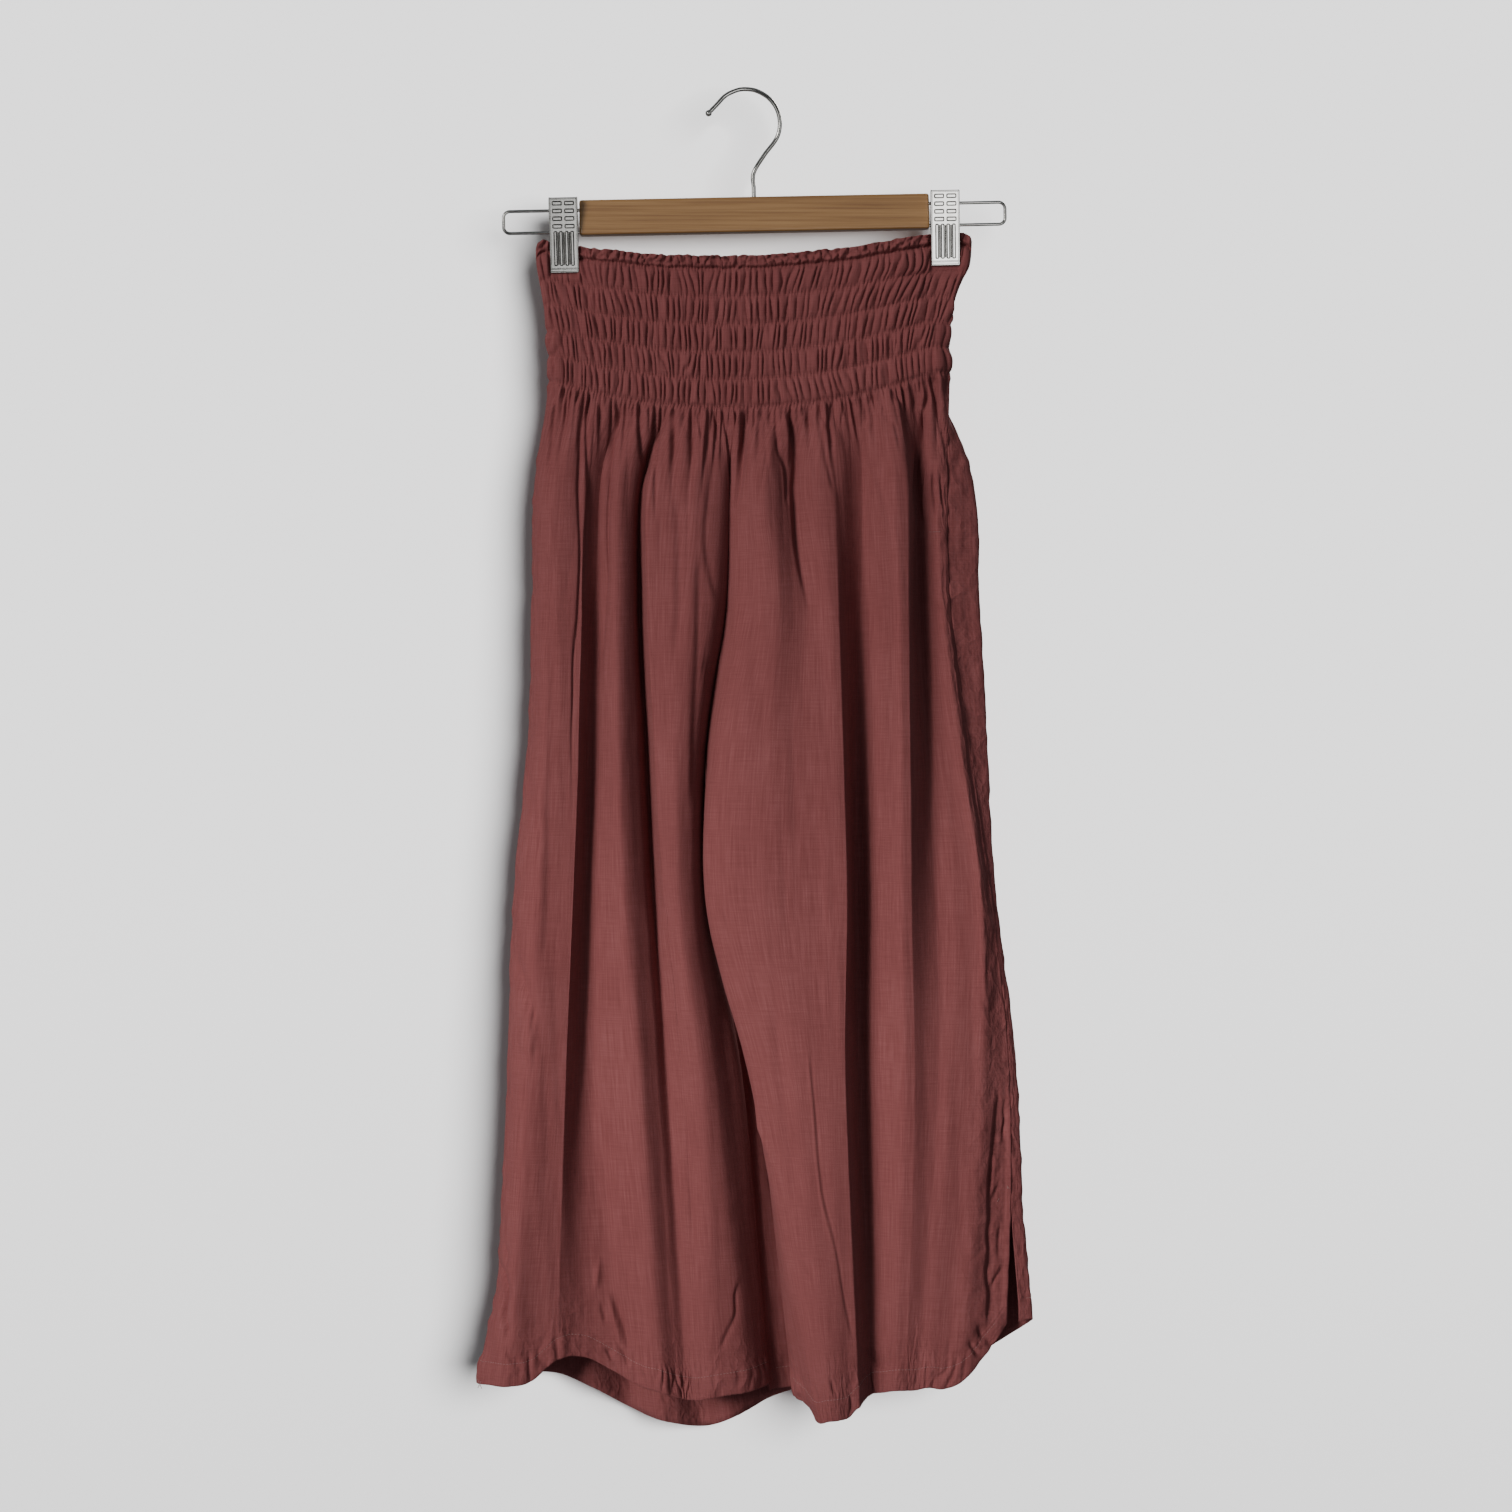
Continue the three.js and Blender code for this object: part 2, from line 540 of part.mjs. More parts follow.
// A round wire through points of the plane y = 0.
function wire(points, radius, sides = 8) {
  const rings = points.map((point, k) => {
    const before = points[Math.max(k - 1, 0)];
    const after = points[Math.min(k + 1, points.length - 1)];
    const along = after.clone().sub(before).normalize();
    const across = new THREE.Vector3(along.z, 0, -along.x);
    return Array.from({ length: sides + 1 }, (_, i) => {
      const angle = (2 * Math.PI * (i % sides)) / sides;
      const p = point.clone().addScaledVector(across, radius * Math.cos(angle));
      p.y += radius * Math.sin(angle);
      return { t: i, p };
    });
  });
  const cap = (ring, centre) => ring.slice(1).map(({ p }, i) => [centre, ring[i].p, p]);
  const triangles = [
    ...rings.slice(1).flatMap((ring, k) => strip(ring, rings[k])),
    ...reversed(cap(rings[0], points[0])),
    ...cap(rings.at(-1), points.at(-1)),
  ];
  return new THREE.BufferGeometry().setFromPoints(triangles.flat());
}

const RAIL_HEIGHTS = [RAIL.z + RAIL.spread / 2, RAIL.z - RAIL.spread / 2];

// The wood bar: its section is a rectangle with softened edges. The hook and rails are let into it.
function buildBar() {
  const [h, d, e] = [BAR.height / 2, BAR.depth / 2, BAR.edge];
  const outline = new THREE.Shape();
  outline.moveTo(-d + e, -h);
  outline.lineTo(d - e, -h);
  outline.quadraticCurveTo(d, -h, d, -h + e);
  outline.lineTo(d, h - e);
  outline.quadraticCurveTo(d, h, d - e, h);
  outline.lineTo(-d + e, h);
  outline.quadraticCurveTo(-d, h, -d, h - e);
  outline.lineTo(-d, -h + e);
  outline.quadraticCurveTo(-d, -h, -d + e, -h);
  const bar = new THREE.ExtrudeGeometry(outline, { depth: BAR.length, bevelEnabled: false, curveSegments: 2 });
  bar.rotateX(Math.PI / 2).rotateZ(Math.PI / 2);
  bar.translate(BAR.x - BAR.length / 2, 0, BAR.z);
  const stem = new THREE.CylinderGeometry(HOOK.wire + BORE_PLAY, HOOK.wire + BORE_PLAY, 2 * HOOK.root, 12);
  stem.rotateX(Math.PI / 2).translate(BAR.x, 0, BAR.z + h);
  let cut = solid(bar).subtract(solid(stem));
  RAIL_HEIGHTS.forEach((z) =>
    [-1, 1].forEach((side) => {
      const x = BAR.x + side * (BAR.length / 2);
      cut = cut.subtract(rodAlongX(RAIL.wire + BORE_PLAY, 2 * RAIL.root, x, 0, z));
    }),
  );
  return geometryOf(cut);
}

// The hook: a crown that the nail carries, a turned-out tip with a ball, and a stem down into the bar.
function buildHook() {
  const centreZ = HOOK.wire - HOOK.radius;
  const onCrown = (degrees) => {
    const angle = THREE.MathUtils.degToRad(degrees);
    return new THREE.Vector3(HOOK.radius * Math.cos(angle), 0, centreZ + HOOK.radius * Math.sin(angle));
  };
  const tip = new THREE.Vector3(-29.5, 0, -17);
  const stemTop = new THREE.Vector3(BAR.x, 0, -66);
  const stemEnd = new THREE.Vector3(BAR.x, 0, BAR.z + BAR.height / 2 - HOOK.root + SEAM_GAP);
  const crown = [145, 125, 105, 90, 70, 45, 20, -5, -28].map(onCrown);
  const line = new THREE.CatmullRomCurve3([
    tip,
    ...crown,
    new THREE.Vector3(14, 0, -52),
    stemTop,
    stemTop.clone().lerp(stemEnd, 0.4),
    stemEnd,
  ]);
  const ball = new THREE.IcosahedronGeometry(HOOK.tip, 1).translate(tip.x, tip.y, tip.z);
  return geometryOf(solid(wire(line.getSpacedPoints(HOOK.steps), HOOK.wire)).add(solid(ball)));
}

// A rail: a wire out of one end of the bar and back in, on which a clip slides.
function buildRail(side) {
  const root = BAR.x + side * (BAR.length / 2 - RAIL.root + SEAM_GAP);
  const end = BAR.x + side * RAIL.reach;
  const [upper, lower] = RAIL_HEIGHTS;
  const bendX = end - side * RAIL.bend;
  const at = (x, z) => new THREE.Vector3(x, 0, z);
  const turn = (centreZ, from) =>
    [0, 1, 2, 3].map((k) => {
      const angle = from - (k * Math.PI) / 6;
      return at(bendX + side * RAIL.bend * Math.cos(angle), centreZ + RAIL.bend * Math.sin(angle));
    });
  const points = [
    at(root, upper),
    ...turn(upper - RAIL.bend, Math.PI / 2),
    ...turn(lower + RAIL.bend, 0),
    at(root, lower),
  ];
  return wire(points, RAIL.wire);
}

// A clip's jaw, built upright and then leant on the cloth. Its lugs turn on the lower wire of the rail.
function buildJaw(side, face) {
  const x = BAR.x + side * CLIP.x;
  const width = face > 0 ? CLIP.width : CLIP.width - 2 * CLIP.wall - 0.8;
  const tipZ = CLIP.top - CLIP.length;
  const middle = CLIP.top - CLIP.length / 2;
  const plateY = -CLIP.wall / 2;
  let jaw = box(x, plateY, middle, width, CLIP.wall, CLIP.length);
  [-1, 1].forEach((edge) => {
    const flangeX = x + (edge * (width - CLIP.wall)) / 2;
    jaw = jaw.add(box(flangeX, CLIP.flange / 2 - 0.5, middle + 12, CLIP.wall, CLIP.flange, CLIP.length - 24));
  });
  // Ribs down the lower part, and grips across the handle.
  [-1.5, -0.5, 0.5, 1.5].forEach((place) => {
    jaw = jaw.add(box(x + place * 4.6, -CLIP.wall - 0.3, tipZ + 19, 2.2, 1.2, 32));
  });
  [0, 1, 2, 3].forEach((k) => {
    jaw = jaw.add(box(x, -CLIP.wall - 0.3, CLIP.top - 4 - k * 4.6, width - 5, 1.2, 2));
  });
  const leant = jaw
    .translate([0, -CLIP.bite, -tipZ])
    .rotate([THREE.MathUtils.radToDeg(CLIP.lean), 0, 0])
    .translate([0, 0, tipZ]);
  const lower = RAIL_HEIGHTS[1];
  let hung = leant;
  [-1, 1].forEach((edge) => {
    const lugX = x + (edge * (width - CLIP.wall)) / 2;
    hung = hung.add(box(lugX, -2.5, lower, CLIP.wall, 9.6, 7));
  });
  hung = hung.subtract(rodAlongX(RAIL.wire + BORE_PLAY, 2 * CLIP.width, x, 0, lower));
  return geometryOf(face > 0 ? hung : hung.scale([1, -1, 1]));
}

// The spring that closes a clip, as the outer shape of its coil, round the rail's lower wire.
function buildSpring(side) {
  const [bore, rim, half] = [RAIL.wire + BORE_PLAY, 3.1, 8];
  const profile = [
    [bore, -half],
    [rim, -half],
    [rim, half],
    [bore, half],
    [bore, -half],
  ].map(([r, y]) => new THREE.Vector2(r, y));
  return new THREE.LatheGeometry(profile, 10).rotateZ(Math.PI / 2).translate(BAR.x + side * CLIP.x, 0, RAIL_HEIGHTS[1]);
}

// ---------------------------------------------------------------- assembly

const cloth = { color: 0x7d4644, roughness: 0.9, metalness: 0 };
const wood = { color: 0xa2774a, roughness: 0.55, metalness: 0 };
const steel = { color: 0xb9b7b2, roughness: 0.25, metalness: 1 };

function mesh(name, geometry, look) {
  const made = new THREE.Mesh(geometry, new THREE.MeshStandardMaterial(look));
  made.name = name;
  return made;
}

Object.values(PANELS).forEach(placeFolds);

const pants = new THREE.Group();
Object.keys(PANELS).forEach((name) => pants.add(mesh(name, buildPanel(name), cloth)));
pants.add(mesh("pocket_bag_left", buildPocketBag(), cloth));

const hanger = new THREE.Group();
hanger.rotation.y = TILT;
hanger.add(mesh("hanger_bar", buildBar(), wood));
hanger.add(mesh("hanger_hook", buildHook(), steel));
[
  ["right", -1],
  ["left", 1],
].forEach(([name, side]) => {
  hanger.add(mesh(`hanger_rail_${name}`, buildRail(side), steel));
  hanger.add(mesh(`clip_${name}_front`, buildJaw(side, 1), steel));
  hanger.add(mesh(`clip_${name}_back`, buildJaw(side, -1), steel));
  hanger.add(mesh(`clip_${name}_spring`, buildSpring(side), steel));
});

const root = new THREE.Group();
root.add(pants, hanger);
export default root;
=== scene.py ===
"""Harem pants with a smocked waist, hung by two clips from a wood trouser hanger.

The CAD frame gives the sizes and places. Here the cloth gets its gathers, creases, hems, stitching and weave, and the
hanger its wood grain, ribbed clips and springs. Right and left are the wearer's, so the right leg is at -X. Sizes are
in millimetres unless a comment says otherwise.
"""
import math

import bmesh
import bpy
import numpy as np
from mathutils import Matrix, Vector


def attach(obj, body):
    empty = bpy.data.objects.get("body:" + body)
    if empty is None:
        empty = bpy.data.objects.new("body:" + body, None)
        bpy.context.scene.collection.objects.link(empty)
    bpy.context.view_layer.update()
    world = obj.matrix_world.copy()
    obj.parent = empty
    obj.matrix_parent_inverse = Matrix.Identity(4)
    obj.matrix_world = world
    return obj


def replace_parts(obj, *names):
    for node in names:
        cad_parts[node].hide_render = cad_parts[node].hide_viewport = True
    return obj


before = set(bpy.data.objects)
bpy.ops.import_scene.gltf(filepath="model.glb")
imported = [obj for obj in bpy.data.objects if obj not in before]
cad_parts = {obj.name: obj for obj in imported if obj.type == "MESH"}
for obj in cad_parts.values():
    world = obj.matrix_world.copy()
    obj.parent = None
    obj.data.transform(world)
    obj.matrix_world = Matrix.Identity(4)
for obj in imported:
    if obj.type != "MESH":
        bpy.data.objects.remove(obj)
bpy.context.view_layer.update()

MM = 0.001

# ---------------------------------------------------------------- camera

PHOTO_PIXELS = 1512
MM_PER_PIXEL = 0.8
CAMERA_DISTANCE = 3.0
CAMERA_AT = Vector((0.0088, -0.006 - CAMERA_DISTANCE, -0.5328))
SENSOR = 36.0


def make_camera():
    data = bpy.data.cameras.new("camera")
    data.sensor_width = SENSOR
    data.lens = SENSOR * CAMERA_DISTANCE / (PHOTO_PIXELS * MM_PER_PIXEL * MM)
    camera = bpy.data.objects.new("camera", data)
    camera.location = CAMERA_AT
    camera.rotation_euler = (math.radians(90), 0, 0)
    bpy.context.scene.collection.objects.link(camera)
    bpy.context.scene.camera = camera


make_camera()

# ---------------------------------------------------------------- colours and lights

CLOTH_DARK, CLOTH_MID, CLOTH_LIGHT = (0.185, 0.052, 0.052), (0.240, 0.074, 0.074), (0.300, 0.104, 0.104)
THREAD_DARK, THREAD_LIGHT = (0.25, 0.095, 0.090), (0.34, 0.160, 0.150)
WOOD_DARK, WOOD_MID, WOOD_LIGHT = (0.200, 0.085, 0.026), (0.345, 0.175, 0.056), (0.460, 0.255, 0.096)
STEEL_DARK, STEEL_LIGHT = (0.68, 0.67, 0.64), (0.82, 0.81, 0.78)
WIRE_DARK, WIRE_LIGHT = (0.40, 0.395, 0.38), (0.52, 0.51, 0.49)
# Near-black nickel for the clips' pressed slopes and grooves: painted shade that darkens the ribs' and ovals' outlines.
PAINTED_SHADE_DARK, PAINTED_SHADE_LIGHT = (0.045, 0.044, 0.041), (0.095, 0.092, 0.086)
THREAD_PITCH = 0.0007  # from one thread of the weave to the next, in metres
WALL_GREY, FLOOR_GREY = 0.80, 0.95
WALL_Y, FLOOR_Z = 0.042, -1.45
STAGE_HALF, WALL_TOP = 3.0, 2.2
SKY, SKY_STRENGTH = (0.93, 0.97, 1.0), 0.17

# Each light on the part: its name, the way it shines, its angle across, its strength and its colour.
PART_LIGHTS = [
    ("key", (0.62, 0.76, -0.24), 24, 2.0, (1.0, 0.975, 0.955)),
    ("back", (-0.5, -0.78, -0.4), 25, 1.6, (1.0, 0.97, 0.94)),
]
# The lamp on the legs: its place, where it points, its cone's width in degrees, how much taller than wide that is, its
# radius, its power and its colour.
LEG_LIGHT = ((-1.15, -1.75, -0.55), (0.03, 0.0, -0.76), 7.0, 3.4, 0.3, 205.0, (1.0, 0.975, 0.955))
# The light that only the wall and the floor catch: the way it shines, its angle across, its strength and its colour.
WALL_LIGHT = ((-0.45, 0.885, -0.12), 36, 7.9, (1.0, 0.99, 0.99))

# Cards that only the metal and the varnish mirror: a name, four corners in metres, and how bright it is.
CARDS = [
    ("dark_card", [(-2.2, -4.6, -2.8), (2.2, -4.6, -2.8), (2.2, -4.6, 2.0), (-2.2, -4.6, 2.0)], 0.03),
    ("front_card", [(-0.02, -3.4, -1.8), (1.5, -3.4, -1.8), (1.5, -3.4, -0.2), (-0.02, -3.4, -0.2)], 2.8),
    ("middle_card", [(-0.33, -3.4, -1.8), (-0.03, -3.4, -1.8), (-0.03, -3.4, -0.2), (-0.33, -3.4, -0.2)], 1.1),
    ("left_card", [(-3.4, -3.2, -1.2), (-1.7, -4.4, -1.2), (-1.7, -4.4, 1.6), (-3.4, -3.2, 1.6)], 1.5),
    ("right_card", [(2.6, -3.6, -1.2), (3.4, -2.4, -1.2), (3.4, -2.4, 1.6), (2.6, -3.6, 1.6)], 1.6),
]

# ---------------------------------------------------------------- the hanger's sizes

TILT = math.radians(-1.1)
BAR = {"x": 5.5, "z": -99.4, "length": 280.0, "height": 28.0, "depth": 14.0, "edge": 2.0}
RAIL = {"reach": 201.0, "z": -101.6, "spread": 17.6, "wire": 1.3, "bend": 5.0, "root": 12.0}
HOOK = {"wire": 1.75, "radius": 27.5, "ball": 2.6, "root": 9.0}
HOOK.update(tip=(-29.5, 0, -17), knee=(14, 0, -52), neck=-66)
HOOK_CROWN = (145, 125, 105, 90, 70, 45, 20, -5, -28)  # degrees round the crown
CLIP = {"x": 152.5, "width": 23.0, "length": 60.0, "top": -82.5, "wall": 1.0, "flange": 5.0, "bite": 3.2, "lean": 0.2}
RIB = {"size": (3.0, 2.2, 28), "pitch": 4.5, "above_tip": 19.5, "groove": (1.3, 0.2, 26)}
OVAL = {"size": (8.2, 2.2, 3.8), "across": 4.9, "pitch": 6.1, "below_top": 4.6}
PRESSED_ROUND = 1.05
COIL = {"turns": 9, "half": 6.4, "radius": 2.45, "wire": 0.55}

# ---------------------------------------------------------------- the garment's sizes

CENTRE_X = -6.0
EDGE_HEIGHT = {"right": -120.0, "left": -114.0, "sag": 16.0}
LAST_ROW_HEIGHT = {"right": -230.0, "left": -226.0, "sag": 26.0}
CLIPPED_SPAN = 156.0
# Where the clips bite, how far each side of them the waist is flat and free again, the heights between which the bite
# takes hold, the least of the waist's depth that it leaves, and the place across from which it closes the sides.
CLIPPED = {"at": (-145.0, 160.0), "flat": 12.0, "clear": 34.0, "from": -200.0, "to": -146.0, "least": 0.24, "shut": 0.9}
SIDE_ROUNDING = 40
ROWS = (0.08, 0.27, 0.455, 0.64, 0.82, 1.0)  # the rows of elastic, as shares of the waist's height
SEAM_GAP = 0.3
CAD_WALL = 1.5
EDGE_FRILL = 0.9
HEIGHTS = (-312.0, -408.0, -528.0, -648.0, -792.0, -1040.0)
CROTCH = 2  # which of the heights is the crotch
OUT_HEIGHTS = (-312.0, -528.0, -792.0, -1040.0)
HEM_DEPTH = 20.0
SLIT = {"right": -938.0, "left": -882.0, "edge": 0.84, "opens_over": 110.0}
DIVE = (250.0, 300.0)  # the drop over which the two legs' cloth turns in at the middle
CRISP = {"edge": 1.0, "lip": 0.9, "flank": 0.3}  # how sharply a fold line turns, by its name's first word
CRISP_FROM = (255.0, 330.0)
POCKET = {"top": -276.0, "reach": 118.0, "depth": -500.0, "hangs": -440.0, "y": 3.0, "inset": 1.2}

# A row for each fold line, from the centre to the side: x at each of the six heights, how far it stands out at the
# hip, crotch, knee and hem, and the hem's height there.
FRONT_RIGHT = [
    ("inseam",        -12,  -15,  -31,  -28,   -2,   20,    6,   0,  -4,  -4,  -1036),
    ("inner edge",    -15,  -19,  -34,  -35,  -14,   15,   12,  14,  14,   8,  -1037),
    ("inner side",    -22,  -27,  -40,  -42,  -24,    2,   18,  26,  27,  23,  -1039),
    ("ridge a",       -39,  -47,  -53,  -53,  -36,  -22,   22,  32,  32,  29,  -1042),
    ("lip a",         -74,  -77,  -71,  -64,  -51,  -37,   18,  26,  25,  25,  -1045),
    ("valley a",      -82,  -85,  -79,  -73,  -62,  -46,    0,   0,  14,  22,  -1045),
    ("fall b",        -88,  -90,  -86,  -80,  -70,  -54,   12,  18,  23,  24,  -1043),
    ("ridge b",       -99, -101, -100,  -96,  -84,  -67,   18,  30,  32,  30,  -1038),
    ("flank b",      -109, -112, -111, -112, -108,  -85,   14,  20,  19,  18,  -1034),
    ("valley b",     -115, -118, -120, -124, -123, -104,    7,   8,  11,  15,  -1023),
    ("step",         -121, -123, -127, -130, -133, -126,   11,  11,  14,  18,  -1012),
    ("edge c",       -127, -129, -132, -136, -142, -150,   18,  29,  31,  25,  -1013),
    ("shoulder c",   -138, -139, -141, -145, -153, -170,   20,  30,  32,  28,  -1029),
    ("ridge c",      -151, -154, -158, -165, -172, -188,   20,  30,  34,  33,  -1033),
    ("outer side",   -161, -165, -169, -179, -184, -198,   12,  18,  22,  22,  -1033),
    ("outline",      -167, -171, -175, -186, -190, -202,    3,   5,   8,  10,  -1033),
    ("side seam",    -166, -169, -173, -184, -188, -199,   -4,  -3,   0,   0,  -1032),
]
FRONT_LEFT = [
    ("inseam",        -12,  -15,  -31,  -22,    8,   38,    6,   0,  -4,  -4,  -1044),
    ("inner edge",     -5,   -9,  -28,  -32,    4,   48,   12,  16,  20,  20,  -1053),
    ("inner side",      4,    5,  -16,  -19,   16,   55,   20,  29,  32,  35,  -1061),
    ("plateau a",      18,   26,   16,   14,   38,   65,   24,  37,  40,  42,  -1059),
    ("furrow",         38,   48,   46,   46,   58,   74,   12,  35,  40,  42,  -1058),
    ("plateau b",      56,   65,   70,   73,   73,   82,   20,  36,  40,  38,  -1056),
    ("edge a",         70,   74,   78,   81,   80,   90,   19,  35,  39,  36,  -1049),
    ("valley a",       93,   92,   89,   89,   92,  100,    3,   3,   5,  15,  -1042),
    ("slope",         103,  107,  106,  105,  108,  111,   13,  12,  14,  18,  -1040),
    ("ridge b",       118,  121,  122,  123,  125,  120,   26,  32,  26,  22,  -1038),
    ("edge b",        128,  130,  131,  132,  135,  128,   25,  32,  26,  22,  -1038),
    ("valley b",      136,  137,  144,  151,  153,  136,    2,   5,  18,  20,  -1038),
    ("ridge c",       143,  147,  157,  169,  165,  146,    5,   7,  19,  20,  -1036),
    ("valley c",      149,  152,  166,  183,  178,  159,    7,   9,  17,  19,  -1037),
    ("ridge d",       154,  157,  172,  189,  189,  174,    9,  14,  16,  19,  -1031),
    ("edge d",        158,  161,  176,  193,  197,  189,    8,  12,  11,  12,  -1016),
    ("side seam",     162,  164,  180,  197,  212,  211,    6,   6,   4,   4,   -987),
]
BACK_RIGHT = [
    ("inseam",         -8,  -15,  -31,  -28,   -2,   20,  -14,   0,  -4,  -4,  -1042),
    ("inner edge",    -18,  -24,  -36,  -31,    6,   44,  -20, -10, -15, -18,  -1041),
    ("ridge a",       -34,  -40,  -50,  -48,  -20,   18,  -24, -26, -30, -31,  -1052),
    ("valley a",      -52,  -58,  -66,  -66,  -46,  -14,  -13, -12, -12, -14,  -1066),
    ("ridge b",       -70,  -76,  -84,  -86,  -68,  -38,  -24, -28, -30, -30,  -1075),
    ("valley b",      -86,  -92, -100, -104,  -92,  -66,  -14, -12, -13, -15,  -1069),
    ("ridge c",      -104, -110, -118, -122, -116,  -94,  -24, -28, -30, -30,  -1060),
    ("valley c",     -120, -126, -132, -138, -136, -122,  -14, -14, -14, -16,  -1042),
    ("ridge d",      -138, -144, -148, -156, -158, -150,  -22, -26, -28, -28,  -1032),
    ("back side",    -156, -160, -164, -174, -178, -184,  -16, -18, -20, -18,  -1030),
    ("side seam",    -166, -169, -173, -184, -188, -199,   -4,  -3,   0,   0,  -1030),
]
BACK_LEFT = [
    ("inseam",         -8,  -15,  -31,  -22,    8,   38,  -14,   0,  -4,  -4,  -1044),
    ("inner edge",      2,   -6,  -25,  -20,   12,   42,  -20, -10, -10,  -8,  -1048),
    ("ridge a",        16,   12,   -8,   -2,   29,   63,  -24, -26, -28, -29,  -1050),
    ("valley a",       34,   34,   26,   27,   49,   80,  -14, -12, -12, -14,  -1046),
    ("ridge b",        52,   56,   54,   54,   72,   98,  -24, -28, -30, -30,  -1044),
    ("valley b",       70,   74,   78,   80,   94,  118,  -13, -12, -12, -15,  -1040),
    ("ridge c",        90,   96,  104,  106,  120,  140,  -24, -28, -30, -30,  -1036),
    ("valley c",      110,  116,  124,  128,  142,  158,  -14, -13, -13, -16,  -1030),
    ("ridge d",       132,  138,  146,  154,  168,  180,  -23, -27, -30, -28,  -1022),
    ("back side",     172,  178,  185,  193,  207,  214,  -14, -16, -16, -14,   -998),
    ("outline",       182,  188,  195,  202,  218,  227,   -3,  -3,  -2,  -2,   -985),
    ("side seam",     162,  164,  180,  197,  212,  211,    6,   6,   4,   4,   -986),
]

# A row for each level section of the waist: its height, the x of its two ends, and its half depth.
WAIST = [
    (-118, -168, 182, 7),
    (-140, -167, 180, 7),
    (-152, -165, 174, 7),
    (-168, -162, 168, 8),
    (-184, -159, 165, 8),
    (-204, -157, 163, 9),
    (-226, -156, 164, 10),
    (-256, -160, 171, 12),
]

# Each panel's fold lines, the way it faces, its side, how its slit's edge opens in x and out, its seed, its columns of
# points, and the number and greatest length of its single gathers.
PANELS = {
    "front_panel_right": dict(
        rows=FRONT_RIGHT, face=1, side=-1, opening=(-15, 7), seed=11, columns=356, gathers=(34, 95)),
    "front_panel_left": dict(
        rows=FRONT_LEFT, face=1, side=1, opening=(-2, 2), seed=12, columns=356, gathers=(36, 95)),
    "back_panel_right": dict(
        rows=BACK_RIGHT, face=-1, side=-1, opening=(1, -4), seed=13, columns=300, gathers=(40, 120)),
    "back_panel_left": dict(
        rows=BACK_LEFT, face=-1, side=1, opening=(8, -3), seed=14, columns=300, gathers=(40, 120)),
}
